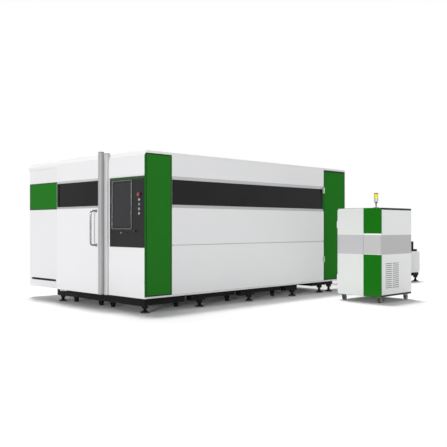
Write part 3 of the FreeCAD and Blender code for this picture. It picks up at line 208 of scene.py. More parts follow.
def scuff_group():
    """Sparse rubbed patches where handling or sliding dulls or brightens a surface."""
    tree, given, give = new_group(
        "scuffs", [("Place", "vector", (0, 0, 0)), ("Scale", "value", 12.0),
                   ("Rarity", "value", 0.62)], [("Mask", "value")])
    patch = noise(tree, given["Place"], given["Scale"], detail=6.0, rough=0.7)
    edge_contrast = 9.0
    above = maths(tree, "SUBTRACT", patch, given["Rarity"])
    give("Mask", maths(tree, "MULTIPLY", above, edge_contrast, clamp=True))
    return tree


POWDER_COAT = powder_coat_group()
HEIGHT_BAND = height_band_group()
FLOOR_DUST = floor_dust_group()
METAL_GRAIN = metal_grain_group()
SCUFFS = scuff_group()


# ---------------------------------------------------------------------------- finishes
def new_material(name):
    """Material with one Principled shader and its output."""
    material = bpy.data.materials.new(name)
    material.use_nodes = True
    tree = material.node_tree
    tree.nodes.clear()
    shader = tree.nodes.new("ShaderNodeBsdfPrincipled")
    end = tree.nodes.new("ShaderNodeOutputMaterial")
    tree.links.new(shader.outputs[0], end.inputs[0])
    return material, tree, shader


def bump(tree, shader, height, strength, distance):
    """Height to the shader's normal; distance in metres."""
    node = add(tree, "Bump", {"Height": height, "Strength": strength, "Distance": distance})
    fill(tree, shader, {"Normal": node.outputs[0]})


def banded(tree, place, shown, bands):
    """Colour with level bands laid over it; bands are ((low, high), colour), the heights in
    metres above the floor."""
    for (low, high), band_colour in bands:
        mask = use(tree, HEIGHT_BAND, Place=place, Low=low, High=high)["Mask"]
        shown = blend(tree, mask, shown, band_colour)
    return shown


def painted(name, colour, gloss=0.42, mottle=0.03, bands=(), dust=0.06, specular=0.5, pebble=0.06):
    """Powder coat with bands of other colours and thin dust near the floor."""
    material, tree, shader = new_material(name)
    place = object_place(tree)
    coat = use(tree, POWDER_COAT, Place=place, Colour=colour, Mottle=mottle, Gloss=gloss)
    shown = banded(tree, place, coat["Colour"], bands)
    shown = use(tree, FLOOR_DUST, Place=place, Colour=shown, Amount=dust)["Colour"]
    fill(tree, shader, {"Base Color": shown, "Roughness": coat["Roughness"],
                        "Specular IOR Level": specular})
    bump(tree, shader, coat["Height"], strength=pebble, distance=0.0006)
    return material


def metal(name, colour, stretch_by, gloss=0.3, contrast=0.15, grain=0.08, metallic=1.0):
    """Ground, drawn or plated metal; stretch_by is small along the grain."""
    material, tree, shader = new_material(name)
    place = object_place(tree)
    streaks = use(tree, METAL_GRAIN, Place=place, Stretch=stretch_by, Colour=colour,
                  Contrast=contrast, Gloss=gloss)
    fill(tree, shader, {"Base Color": streaks["Colour"], "Roughness": streaks["Roughness"],
                        "Metallic": metallic})
    bump(tree, shader, streaks["Height"], strength=grain, distance=0.0004)
    return material


def moulded(name, colour, gloss=0.35, scale=300.0, grain=0.05, second=None, bands=(), coat=0.0):
    """Plastic or rubber with fine grain; second is the colour of its rubbed patches."""
    material, tree, shader = new_material(name)
    place = object_place(tree)
    skin = use(tree, POWDER_COAT, Place=place, Colour=colour, Mottle=0.08, Pebble_Scale=scale,
               Gloss=gloss)
    shown = banded(tree, place, skin["Colour"], bands)
    if second:
        rubbed = use(tree, SCUFFS, Place=place, Scale=40.0, Rarity=0.6)["Mask"]
        shown = blend(tree, maths(tree, "MULTIPLY", rubbed, 0.5), shown, second)
    fill(tree, shader, {"Base Color": shown, "Roughness": skin["Roughness"],
                        "Coat Weight": coat, "Coat Roughness": 0.08})
    bump(tree, shader, skin["Height"], strength=grain, distance=0.0003)
    return material


def glazed(name, colour, low_gloss=0.06, specular=0.1, cloud=0.12):
    """Dark smoked sheet: near-black body, thin reflections and a faint wiped haze."""
    material, tree, shader = new_material(name)
    place = object_place(tree)
    wiped = stretch(tree, place, (1.2, 1.2, 6.0))
    haze = noise(tree, wiped, scale=2.0, detail=5.0, rough=0.6)
    haze_colour, haze_dulls = srgb(62, 62, 64), 0.08
    tint = blend(tree, maths(tree, "MULTIPLY", haze, cloud), colour, haze_colour)
    rough = maths(tree, "ADD", maths(tree, "MULTIPLY", haze, haze_dulls), low_gloss)
    fill(tree, shader, {"Base Color": tint, "Roughness": rough, "Specular IOR Level": specular})
    bump(tree, shader, noise(tree, place, scale=3.0), strength=0.01, distance=0.001)
    return material


WHITE = srgb(233, 233, 234)
GREEN = srgb(20, 110, 14)
# Painted shade: the cabinet's green lid and base get this darkened green for the shade they lie in.
SHADED_LID_GREEN = srgb(6, 40, 10)
TRIM_GREY = srgb(196, 197, 199)
HINGE_PALE = srgb(242, 243, 242)

# Painted bands as (low, high) above the floor, in metres.
DOOR_SILL, DOOR_HEAD = (1.437, 1.4705), (1.8295, 1.863)
SIDE_BAND, FRONT_BAND = (0.742, 1.039), (0.741, 1.040)
COLUMN_EDGE, COLUMN_BAND = (0.740, 1.064), (0.748, 1.040)
LOW_HINGE, HIGH_HINGE = (0.28, 0.42), (1.13, 1.27)
CONSOLE_STRIP = (1.821, 1.856)
LAMP_FOOT, LAMP_COLLAR, LAMP_TOP = (1.46, 1.52), (1.52, 1.55), (1.675, 1.75)

# By plain name, because Blender numbers a new material whose name the frame already has.
FINISHES = {
    "white_covers": painted("white_covers", WHITE),
    # Painted shade: a darker copy of the white for the service bay, for the shade that the end door
    # throws on it.
    "bay_white_shaded": painted("bay_white_shaded", srgb(229, 229, 230)),
    "roof_white": painted("roof_white", WHITE, specular=0.04),
    "frame_white": painted("frame_white", srgb(220, 220, 221)),
    "hinge_paint": painted("hinge_paint", srgb(172, 180, 172), bands=[
        (LOW_HINGE, HINGE_PALE), (HIGH_HINGE, HINGE_PALE)]),
    "door_white": painted("door_white", WHITE, bands=[
        (DOOR_SILL, TRIM_GREY), (DOOR_HEAD, TRIM_GREY)]),
    "green_covers": painted("green_covers", GREEN, mottle=0.06, specular=0.15),
    "green_far": painted("green_far", srgb(22, 111, 18), mottle=0.06, specular=0.05),
    # Painted shade: darkened green on the cabinet's lid and base.
    "lid_green_shaded": painted("lid_green_shaded", SHADED_LID_GREEN, mottle=0.06),
    "trim_grey": painted("trim_grey", TRIM_GREY),
    "cabinet_side": painted("cabinet_side", srgb(232, 233, 232), bands=[
        (SIDE_BAND, srgb(183, 183, 184))]),
    # Painted shade: the cabinet door's white is a darker copy of the cabinet's white, for shade on
    # its lower front.
    "cabinet_front_shaded": painted("cabinet_front_shaded", srgb(222, 225, 222), bands=[
        (FRONT_BAND, srgb(191, 191, 194))]),
    "cabinet_green": painted("cabinet_green", GREEN, mottle=0.06, specular=0.08, bands=[
        (COLUMN_EDGE, srgb(240, 241, 240)), (COLUMN_BAND, srgb(193, 193, 192))]),
    "console_paint": painted("console_paint", srgb(36, 36, 37), mottle=0.1, pebble=0.15,
                             specular=0.15, bands=[(CONSOLE_STRIP, srgb(45, 78, 43))]),
    "black_paint": painted("black_paint", srgb(11, 11, 12), gloss=0.5, mottle=0.15, dust=0.04,
                           specular=0.08),
    "beam_paint": painted("beam_paint", srgb(205, 207, 210), mottle=0.05),
    "post_satin": painted("post_satin", srgb(195, 195, 196), gloss=0.5, mottle=0.02),
    # Painted shade: the door post wears a darker copy of the posts' satin grey.
    "door_post_satin_shaded": painted("door_post_satin_shaded", srgb(168, 168, 169), gloss=0.5, mottle=0.02),
    "ground_steel": metal("ground_steel", srgb(178, 180, 184), (0.02, 1, 1), gloss=0.28),
    "slat_steel": metal("slat_steel", srgb(122, 116, 110), (1, 0.1, 1), gloss=0.5, contrast=0.6),
    "polished_tube": metal("polished_tube", srgb(138, 139, 142), (1, 1, 0.05), gloss=0.16,
                           contrast=0.05, grain=0.01),
    "zinc_plate": metal("zinc_plate", srgb(168, 172, 178), (1, 1, 0.4), gloss=0.38, contrast=0.2),
    "bezel_dark": painted("bezel_dark", srgb(40, 40, 42), mottle=0.1, specular=0.15),
    "window_glass": glazed("window_glass", srgb(30, 30, 31)),
    "door_glass": glazed("door_glass", srgb(22, 22, 23), specular=0.08),
    "screen_glass": glazed("screen_glass", srgb(51, 51, 53), low_gloss=0.1, cloud=0.05),
    "stop_red": moulded("stop_red", srgb(128, 34, 44), gloss=0.28, coat=0.3),
    "cap_dark": moulded("cap_dark", srgb(40, 40, 42), second=srgb(66, 66, 68)),
    "cap_green": moulded("cap_green", srgb(86, 142, 98), coat=0.3),
    "cap_white": moulded("cap_white", srgb(168, 165, 161), coat=0.3),
    "lamp_body": moulded("lamp_body", srgb(206, 208, 202), gloss=0.4, bands=[
        (LAMP_FOOT, srgb(150, 146, 150)), (LAMP_COLLAR, srgb(84, 80, 66))]),
    "lamp_lenses": moulded("lamp_lenses", srgb(235, 214, 40), gloss=0.2, coat=0.6, bands=[
        (LAMP_TOP, srgb(205, 60, 30))]),
    # Rubber for the seals, gaskets and foot rims; also painted shade on the louvre plates, the
    # bay's slot and the door window's reveal.
    "rubber_and_shade_black": moulded("rubber_and_shade_black", srgb(34, 34, 35), gloss=0.65),
    "seal_grey": moulded("seal_grey", srgb(165, 165, 166), gloss=0.6),
    # Painted shade: dark green for beads that stand for the shade at cover edges and under the
    # roof's rim.
    "edge_shade_green": painted("edge_shade_green", srgb(24, 54, 26), mottle=0.06, specular=0.15),
    # Painted shade: dark green for the strips along the cabinet's rim.
    "rim_shade_dark": painted("rim_shade_dark", srgb(30, 54, 30), mottle=0.06, specular=0.1),
    "bright_line": metal("bright_line", srgb(150, 150, 152), (1, 0.05, 1), gloss=0.3, metallic=0.6),
    "hub_grey": moulded("hub_grey", srgb(196, 196, 180), gloss=0.35),
    "lens_amber": moulded("lens_amber", srgb(150, 74, 26), gloss=0.2, coat=0.3),
    "lens_yellow": moulded("lens_yellow", srgb(224, 232, 12), gloss=0.15, coat=0.6),
    "copper": metal("copper", srgb(196, 122, 84), (1, 1, 0.1), gloss=0.25),
    "cap_grey": moulded("cap_grey", srgb(120, 121, 123), gloss=0.5),
    "tyre": moulded("tyre", srgb(70, 71, 71), gloss=0.6, second=srgb(92, 93, 92)),
    "fork_steel": metal("fork_steel", srgb(122, 124, 122), (1, 1, 0.4), gloss=0.45, contrast=0.2,
                        metallic=0.6),
}

# The finish that each CAD node wears.
WEAR = {
    "white_covers": ["end_wall", "side_top_panel", "side_lower_panels",
                     "far_portal", "door_tracks", "exchange_covers"],
    "hinge_paint": ["hinges"],
    "roof_white": ["roof"],
    "bay_white_shaded": ["rear_bay"],
    "frame_white": ["cabin_frame"],
    "door_white": ["door_panel"],
    "green_covers": ["near_pillar"],
    "green_far": ["rear_band", "service_door"],
    "lid_green_shaded": ["cabinet_lid_and_base"],
    "trim_grey": ["window_trim", "lift_gate"],
    "cabinet_side": ["cabinet_shell"],
    "cabinet_front_shaded": ["cabinet_door"],
    "cabinet_green": ["cabinet_column"],
    "console_paint": ["console_fascia"],
    "black_paint": ["bed_frame", "levelling_feet", "bed_jacks", "exchange_frame", "end_brackets",
                    "cross_carriage", "upper_pallet", "lower_pallet"],
    "beam_paint": ["gantry_beam"],
    "post_satin": ["fixed_post"],
    "door_post_satin_shaded": ["door_post"],
    "ground_steel": ["x_rails", "z_slide"],
    "slat_steel": ["upper_slats", "lower_slats"],
    "polished_tube": ["door_handle", "cutting_head"],
    "zinc_plate": ["quarter_turn_latch"],
    "fork_steel": [f"caster_fork_{k}" for k in range(1, 5)],
    "bezel_dark": ["screen_bezel"],
    "window_glass": ["side_window"],
    "door_glass": ["door_window"],
    "screen_glass": ["screen"],
    "stop_red": ["stop_button"],
    "cap_dark": ["switch_collars", "selector_knob"],
    "cap_white": ["push_button_1", "push_button_3", "push_button_4"],
    "cap_green": ["push_button_2"],
    "lamp_body": ["beacon_mast"],
    "lamp_lenses": ["beacon_lights"],
    "tyre": [f"caster_wheel_{k}" for k in range(1, 5)],
}
for finish, names in WEAR.items():
    for name in names:
        mesh = NODES[name].data
        mesh.materials.clear()
        mesh.materials.append(FINISHES[finish])

# Bent sheet and machined edges are a little round: corners are merged, then each sharp edge
# gets a round of so many millimetres.  Covers whose solids touch keep their sharp edges.
CORNER_MERGE = 0.00005
ROUND_STEPS = 2
SHARP_ANGLE = math.radians(35)
ROUNDS = {
    2.5: ["end_wall", "near_pillar", "side_top_panel", "far_portal", "rear_band",
          "service_door", "door_panel", "exchange_covers", "roof", "cabinet_shell",
          "cabinet_door", "cabinet_lid_and_base"],
    1.2: ["console_fascia", "end_brackets", "window_trim", "lift_gate", "quarter_turn_latch"],
}
for radius, names in ROUNDS.items():
    for name in names:
        merge = NODES[name].modifiers.new("merged_corners", "WELD")
        merge.merge_threshold = CORNER_MERGE
        edge = NODES[name].modifiers.new("round_edges", "BEVEL")
        edge.width, edge.segments = radius * MM, ROUND_STEPS
        edge.limit_method, edge.angle_limit = "ANGLE", SHARP_ANGLE


# -------------------------------------------------------------------- worked surfaces
# The near corner of the cabin on the floor, and for each axis the two directions across it
# and its own.
ORIGIN = np.array([span("end_wall")[0][0], span("roof")[0][1], 0.0])
AXES = {"x": np.eye(3)[[1, 2, 0]], "y": np.eye(3)[[2, 0, 1]], "z": np.eye(3)}
SEAM_MERGE = 2e-6


def at(points):
    """Places in millimetres from the corner of the cabin, as metres of the frame."""
    return ORIGIN + np.asarray(points, float) * MM


def grid(points, wrap_rows=False, wrap_columns=False):
    """Surface over a grid of points: one quad for each cell; a wrapped direction joins its
    last line of points to its first."""
    rows, columns = points.shape[:2]
    i, j = np.meshgrid(np.arange(rows - (not wrap_rows)), np.arange(columns - (not wrap_columns)),
                       indexing="ij")
    below, beside = (i + 1) % rows, (j + 1) % columns
    corners = [i * columns + j, i * columns + beside, below * columns + beside, below * columns + j]
    return points.reshape(-1, 3), np.stack(corners, -1).reshape(-1, 4)


def turned(profile, place, axis="z", steps=24):
    """Profile of (radius, distance) carried round an axis through place:
    point = place + radius * (cos a * first + sin a * second) + distance * axis."""
    first, second, along = AXES[axis]
    radius, distance = np.array(profile, float).T[:, :, None, None] * MM
    angle = (np.arange(steps) * 2 * np.pi / steps)[None, :, None]
    points = radius * (np.cos(angle) * first + np.sin(angle) * second) + distance * along
    return grid(at(place) + points, wrap_columns=True)


def quarter(radius, steps=4):
    """Quarter round as (inset, rise) pairs: inset = r (1 - cos a), rise = r sin a."""
    angle = np.linspace(0, np.pi / 2, steps + 1)
    return np.stack([radius * (1 - np.cos(angle)), radius * np.sin(angle)], 1)


def ellipse(first, second, wide, tall, steps):
    """Outline of an ellipse: (first + wide cos a, second + tall sin a)."""
    angle = np.linspace(0, 2 * np.pi, steps, endpoint=False)
    return np.stack([first + wide * np.cos(angle), second + tall * np.sin(angle)], 1)


def both_sides(half, width):
    """Closed profile of a wheel: one half, its mirror image across the width, and back."""
    half = np.array(half)
    return np.concatenate([half, (half * (1, -1) + (0, width))[::-1], half[:1]])


def loop(low, high, corner, steps=5):
    """Rounded rectangle: corner centres, and the outward direction (cos a, sin a) at each
    point, a quarter turn for each corner."""
    angle = np.linspace(0, np.pi / 2, steps + 1)[None] + np.arange(4)[:, None] * np.pi / 2
    way = np.stack([np.cos(angle), np.sin(angle)], -1)
    sign = np.array([(1, 1), (-1, 1), (-1, -1), (1, -1)])
    middle, half = np.add(low, high) / 2, np.subtract(high, low) / 2 - corner
    centre = middle + sign * half
    return np.repeat(centre, steps + 1, 0), way.reshape(-1, 2)


def cushion(low, high, front, back, corner, edge, axis="x"):
    """Plate with a rounded outline and a rounded front edge.  Each row of the grid is the
    outline moved inwards by inset and forwards by rise; the first and last rows close it at
    the middle.  low and high are the two spans across the axis."""
    first, second, along = AXES[axis]
    centre, way = loop(low, high, corner)
    middle = np.add(low, high) / 2
    turn = np.sign(front - back)
    inset, rise = quarter(edge).T
    level = np.concatenate([[back, back], front - turn * (edge - rise), [front]])
    moved = np.concatenate([[0.0, 0.0], inset, [0.0]])[:, None, None]
    flat = centre + (corner - moved) * way
    flat[[0, -1]] = middle
    points = flat[..., :1] * first + flat[..., 1:] * second + level[:, None, None] * along
    return grid(at(points), wrap_columns=True)


def bead(low, high, level, corner, wide, tall, axis="x", steps=8):
    """Closed bead: an ellipse carried round a rounded rectangle,
    point = corner centre + (corner + wide cos s) * outward + (level + tall sin s) * axis."""
    first, second, along = AXES[axis]
    centre, way = loop(low, high, corner)
    angle = (np.arange(steps) * 2 * np.pi / steps)[:, None, None]
    flat = centre + (corner + wide * np.cos(angle)) * way
    height = np.broadcast_to(level + tall * np.sin(angle), flat.shape[:2] + (1,))
    points = flat[..., :1] * first + flat[..., 1:] * second + height * along
    return grid(at(points), wrap_rows=True, wrap_columns=True)


def carried(outline, start, end, axis="x"):
    """Closed outline of (first, second) points carried straight from start to end along the
    axis; both ends close at the outline's mean point."""
    first, second, along = AXES[axis]
    flat = np.array(outline, float)
    middle = np.broadcast_to(flat.mean(0), flat.shape)
    rows = np.stack([middle, flat, flat, middle])
    level = np.array([start, start, end, end], float)[:, None, None]
    points = rows[..., :1] * first + rows[..., 1:] * second + level * along
    return grid(at(points), wrap_columns=True)


def piece(name, surfaces, finish, body, angle=40.0):
    """One mesh of all the surfaces, closed and facing outwards, riding on a body."""
    starts = np.cumsum([0] + [len(points) for points, _ in surfaces])
    points = np.concatenate([points for points, _ in surfaces])
    quads = np.concatenate([faces + start for (_, faces), start in zip(surfaces, starts)])
    mesh = bpy.data.meshes.new(name)
    mesh.from_pydata(points.tolist(), [], quads.tolist())
    work = bmesh.new()
    work.from_mesh(mesh)
    bmesh.ops.remove_doubles(work, verts=work.verts, dist=SEAM_MERGE)
    bmesh.ops.recalc_face_normals(work, faces=work.faces)
    work.to_mesh(mesh)
    work.free()
    mesh.shade_smooth()
    mesh.set_sharp_from_angle(angle=math.radians(angle))
    mesh.materials.append(FINISHES[finish])
    item = bpy.data.objects.new(name, mesh)
    bpy.context.scene.collection.objects.link(item)
    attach(item, body)
    return item


def local(node):
    """Lowest and highest corner of a CAD node in millimetres from the cabin's corner."""
    low, high = span(node)
    return (low - ORIGIN) / MM, (high - ORIGIN) / MM


# ---------------------------------------------------------------------------- fittings
def screen_line():
    """Bright bead round the outer edge of the screen's bezel, and a rubber bead round the
    screen itself."""
    line_half, gasket_inset = 3, 2
    low, high = local("screen_bezel")
    ring = bead(low[1:] + line_half, high[1:] - line_half, low[0], corner=5, wide=line_half,
                tall=1.6)
    piece("bezel_line", [ring], "bright_line", "machine")
    low, high = local("screen")
    seal = bead(low[1:] + gasket_inset, high[1:] - gasket_inset, low[0] - 0.4, corner=6, wide=5,
                tall=1.4)
    piece("screen_gasket", [seal], "rubber_and_shade_black", "machine")


def switch_rings():
    """Plated rings with a rounded lip on the collars, one turned round each push button."""
    clearance, lip, rise = 0.4, 3.5, 2
    face = local("switch_collars")[0][0]
    rings = []
    for k in range(1, 5):
        low, high = local(f"push_button_{k}")
        y, z = (low[1:] + high[1:]) / 2
        inner = (high[1] - low[1]) / 2 + clearance
        profile = [(inner, 0), (inner + lip, 0), (inner + lip, 1.2), (inner + 2.6, rise),
                   (inner + 0.8, rise), (inner, 1.3), (inner, 0)]
        rings.append(turned([(r, -d) for r, d in profile], (face, y, z), "x"))
    piece("button_rings", rings, "zinc_plate", "machine")


def rubber_seals():
    """Round seal between the two posts, round beads in the frames of both windows, and a dark strip
    of painted shade on the reveal at the free end of the door's window."""
    low, high = local("door_post")
    edge = ellipse(low[0] + 30, low[1] - 0.5, wide=9, tall=2, steps=12)
    seal = carried(edge, low[2] + 6, high[2] - 30, "z")
    piece("post_seal", [seal], "seal_grey", "end_door")

    behind_trim, behind_stile = 47, 6
    low, high = local("side_window")
    spans = ((low[2] + behind_trim, low[0] + behind_stile),
             (high[2] - behind_trim, high[0] - behind_stile))
    ring = bead(*spans, low[1] - 1.5, corner=5, wide=3.5, tall=2.5, axis="y")
    piece("side_window_seal", [ring], "rubber_and_shade_black", "machine")

    behind_trim, behind_stile = 26, 4
    low, high = local("door_window")
    spans = ((low[1] + behind_stile, low[2] + behind_trim),
             (high[1] - behind_stile, high[2] - behind_trim))
    ring = bead(*spans, low[0] - 1.5, corner=5, wide=3, tall=2.5)
    panel_low, panel_high = local("door_panel")
    face, free_end = panel_low[0], panel_high[1] - 4.4
    bottom, top = 1472, 1828
    # Painted shade: a dark strip on the window's reveal at the door's free end.
    reveal_shade = cushion((bottom, face + 1), (top, low[0] - 1), free_end, free_end + 0.8, corner=1,
                   edge=0.4, axis="y")
    piece("door_window_seal_and_shade", [ring, reveal_shade], "rubber_and_shade_black", "end_door")


def edge_shade_and_trims():
    """Dark beads of painted shade round the rear band, the green corner cover and the service
    door, the bright line under the side covers, the band's green return beside the end door, and
    dark strips of painted shade along the cabinet's upper and lower rim."""
    # Painted shade: a dark bead round the rear band's edges.
    low, high = local("rear_band")
    ring = bead(low[1:] + 7, high[1:] - 7, low[0] - 0.2, corner=7, wide=6.5, tall=1.2)
    piece("band_edge_shade", [ring], "edge_shade_green", "machine")

    side_low, side_high = local("side_lower_panels")
    outline = ellipse(0.4, side_low[2], wide=0.8, tall=1.6, steps=8)
    line = carried(outline, side_low[0] + 1, side_high[0] - 1)
    piece("skirt_line", [line], "bright_line", "machine")

    door_end = local("door_panel")[1][1]
    spans = (door_end + 2, low[2] + 1), (low[1] - 0.5, high[2] - 1)
    band_return = cushion(*spans, low[0] + 0.2, 0.5, corner=2, edge=0.8)
    piece("band_return", [band_return], "green_far", "machine")

    # Painted shade: a dark bead round the green corner cover, for the shade under the roof's rim
    # and at its edges.
    low, high = local("near_pillar")
    spans = (low[2] + 10, low[0] + 30), (high[2] - 10, high[0] - 10)
    ring = bead(*spans, -0.2, corner=10, wide=9, tall=1.6, axis="y")
    piece("pillar_edge_shade", [ring], "edge_shade_green", "machine")

    # Painted shadow: a dark bead round the service door and a dark strip along its top, for the
    # roof rim's shadow.
    low, high = local("service_door")
    spans = (low[2] + 10, low[0] + 10), (high[2] - 18, high[0] - 10)
    ring = bead(*spans, -0.2, corner=10, wide=9, tall=1.6, axis="y")
    strip = cushion((high[2] - 34, low[0] + 3), (high[2] - 2, high[0] - 3), -1.6, 0.5, corner=3,
                    edge=1.2, axis="y")
    piece("service_door_edge_shade", [ring, strip], "edge_shade_green", "service_door")

    # Painted shade: dark strips along the cabinet's upper and lower rim, for the lid and base edges
    # in shade.
    low, high = local("cabinet_lid_and_base")
    strips = [cushion((bottom, low[0] + 3), (bottom + tall, high[0] - 3), low[1] - 0.9,
                      low[1] + 0.5, corner=2, edge=0.7, axis="y")
              for bottom, tall in ((high[2] - 31, 30), (low[2] + 1, 28))]
    piece("cabinet_rim_shade", strips, "rim_shade_dark", "machine")


def louvres():
    """Pressed louvre blades in the cabinet's slots, each a curved hood, and dark plates of painted
    shade behind them, for the shade inside the slots.  A hood stands out by 0.3 + 4.4 t^2 while it
    rises by 0.3 + 5.2 t, is 1.1 mm thick, and is carried along its slot."""
    columns, column_pitch, column_start = 2, 205, 110
    rows, row_pitch, row_start = 13, 31, 219
    slot_start, slot_end, shade_plate_tall = 1, 184, 13
    low = local("cabinet_shell")[0]
    face, back = low[1], low[1] + 5.3
    blades, shade_plates = [], []
    bow = np.linspace(0, 1, 5)
    for column in range(columns):
        start = low[0] + column_start + column_pitch * column
        for row in range(rows):
            foot = row_start + row_pitch * row
            outer = np.stack([face + 0.3 + 4.4 * bow ** 2, foot + 0.3 + 5.2 * bow], 1)
            inner = outer[::-1] + (1.1, -0.2)
            blades.append(carried(np.concatenate([outer, inner]), start + slot_start,
                                  start + slot_end))
            # Painted shade: a dark plate behind each blade for the shade inside the slot.
            bottom, top = foot + 0.5, foot + 0.5 + shade_plate_tall
            shade_plate = [(back, bottom), (back, top), (back + 0.6, top), (back + 0.6, bottom)]
            shade_plates.append(carried(shade_plate, start + slot_start, start + slot_end))
    piece("louvre_blades", blades, "cabinet_side", "machine", 60)
    piece("louvre_slot_shade", shade_plates, "rubber_and_shade_black", "machine")


def slot_fins():
    """Dark sheet of painted shade inside the long slot in the service bay, with upright fins before
    it.
    """
    fin_half, fin_pitch = 2, 20.3
    bottom, top = 300.5, 334.5
    low = local("rear_bay")[0]
    start, end = low[1] + 44.5, low[1] + 805.5
    # Painted shade: the dark sheet stands for the shade inside the slot.
    slot_shade = cushion((start, bottom), (end, top), 9, 11.8, corner=3, edge=1)
    fins = [cushion((y - fin_half, bottom + 0.5), (y + fin_half, top - 0.5), 2.5, 9, corner=1.5,
                    edge=1)
            for y in np.arange(start + 14, end - 8, fin_pitch)]
    piece("bay_slot_fins_and_shade", [slot_shade] + fins, "rubber_and_shade_black", "machine")


def roof_seal():
    """Rubber strip that closes the joint between the service bay and the roof's rim, along
    the rear and round the far end: one rounded bar on each, a little behind the covers."""
    back, lap, thick, rim_height = 8, 4, 4, 33
    low, high = local("rear_bay")
    bottom, top = high[2] - lap, local("roof")[1][2] - rim_height + 2
    rear = cushion((bottom, low[0] + 60), (top, high[0] - back), high[1] - back,
                   high[1] - back - thick, corner=2, edge=1, axis="y")
    end = cushion((low[1] + 1, bottom), (high[1] - back, top), high[0] - back,
                  high[0] - back - thick, corner=2, edge=1)
    piece("roof_seal", [rear, end], "seal_grey", "machine")


def hinge_knuckles():
    """Domed pin ends and three sleeves on each barrel of the service door and cabinet door."""
    sleeves, pitch, barrel = 3, 34, 102
    sleeve = [(8, 0), (9.2, 1.2), (9.2, 26.8), (8, 28)]
    dome = np.array([(6, 0), (6, 1.5), (4.2, 3.2), (0, 4)])
    door, leaf = local("service_door"), local("cabinet_door")
    surfaces = []
    for x, y, heights in ((door[0][0] + 5, -9, (539, 1755)),
                          (leaf[0][0] + 12, leaf[1][1] + 9, (300, 1150))):
        for height in heights:
            for step in range(sleeves):
                surfaces.append(turned(sleeve, (x, y, height + 3 + pitch * step)))
            for end, sign in ((height, -1), (height + barrel, 1)):
                surfaces.append(turned(dome * (1, sign), (x, y, end)))
    piece("hinge_sleeves", surfaces, "hinge_paint", "machine")


def feet_hardware():
    """Hexagon lock nut, threaded stem and rubber rim on every levelling foot.  The thread is
    a profile whose radius is 21.2 + 0.9 cos(pi n) at its n-th height."""
    nut = [(0, 0), (26, 0), (30, 2), (30, 10), (26, 12), (0, 12)]
    rim = [(59, 1), (62, 2), (62.5, 8), (61, 14), (59, 15), (59, 1)]
    nut_height, thread_start, core, turns = 33, 45, 19, np.arange(19)
    bed_inset, bed_top, table_inset, table_top = 70, 64.5, 110, 87.5
    end = local("exchange_covers")[1][0]
    start = local("exchange_frame")[0][0]
    far = local("bed_frame")[1][1]
    stations = [(x, bed_inset, bed_top) for x in (60, 1065, 2125, 3195)]
    stations += [(x, table_inset, table_top)
                 for x in (start + 270, start + 550, start + 1975, end - 97)]
    metal_parts, rims = [], []
    for x, inset, top in stations:
        radii = 21.2 + 0.9 * np.cos(np.pi * turns)
        thread = list(zip(radii, np.linspace(thread_start, top, len(turns))))
        stem = [(core, thread_start - 1)] + thread + [(core, top)]
        for y in (inset, far - inset):
            metal_parts.append(turned(nut, (x, y, nut_height), steps=6))
            metal_parts.append(turned(stem, (x, y, 0)))
            rims.append(turned(rim, (x, y, 0), steps=40))
    piece("foot_nuts", metal_parts, "black_paint", "machine")
    piece("foot_rims", rims, "rubber_and_shade_black", "machine")


def handle_collars():
    """Stepped collars where the bent tube meets the door."""
    leg_inset = 13
    profile = [(13.2, 0), (24, 0), (24, 3), (22.5, 4.5), (17, 5), (15, 9), (13.2, 9.5), (13.2, 0)]
    low, high = local("door_handle")
    y = (low[1] + high[1]) / 2
    rings = [turned([(r, -d) for r, d in profile], (high[0], y, z), "x", steps=32)
             for z in (low[2] + leg_inset, high[2] - leg_inset)]
    piece("handle_collars", rings, "polished_tube", "end_door")


def caster_wheels():
    """Twin tyres with a groove between them, and hubs dished on both sides."""
    for k in range(1, 5):
        low, high = local(f"caster_wheel_{k}")
        place = (low[0] + high[0]) / 2, low[1], (low[2] + high[2]) / 2
        width, radius = high[1] - low[1], (high[2] - low[2]) / 2
        tread = [(22, 0.6), (radius - 5, 0.6), (radius - 1.5, 2.2), (radius, 6),
                 (radius, width / 2 - 6), (radius - 1.5, width / 2 - 3),
                 (radius - 9, width / 2 - 1.6)]
        tyre = piece(f"caster_tyres_{k}", [turned(both_sides(tread, width), place, "y", 40)],
                     "tyre", f"caster_wheel_{k}")
        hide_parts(f"caster_wheel_{k}")
        dish = [(6.05, 0), (11, 0), (12, 1.5), (16, 4), (21, 3), (22.2, 0.5), (22.2, width / 2)]
        piece(f"caster_hub_{k}", [turned(both_sides(dish, width), place, "y", 40)], "hub_grey",
              f"caster_wheel_{k}")


def ribbed(start, end, ribs, top):
    """Profile of a ribbed lens shell: radius = 33.1 + 0.9 |sin| of the height."""
    z = np.linspace(start, end, ribs * 6 + 1)
    wave = 33.1 + 0.9 * np.abs(np.sin(np.linspace(0, np.pi * ribs, len(z))))
    return [(30, start)] + list(zip(wave, z)) + top


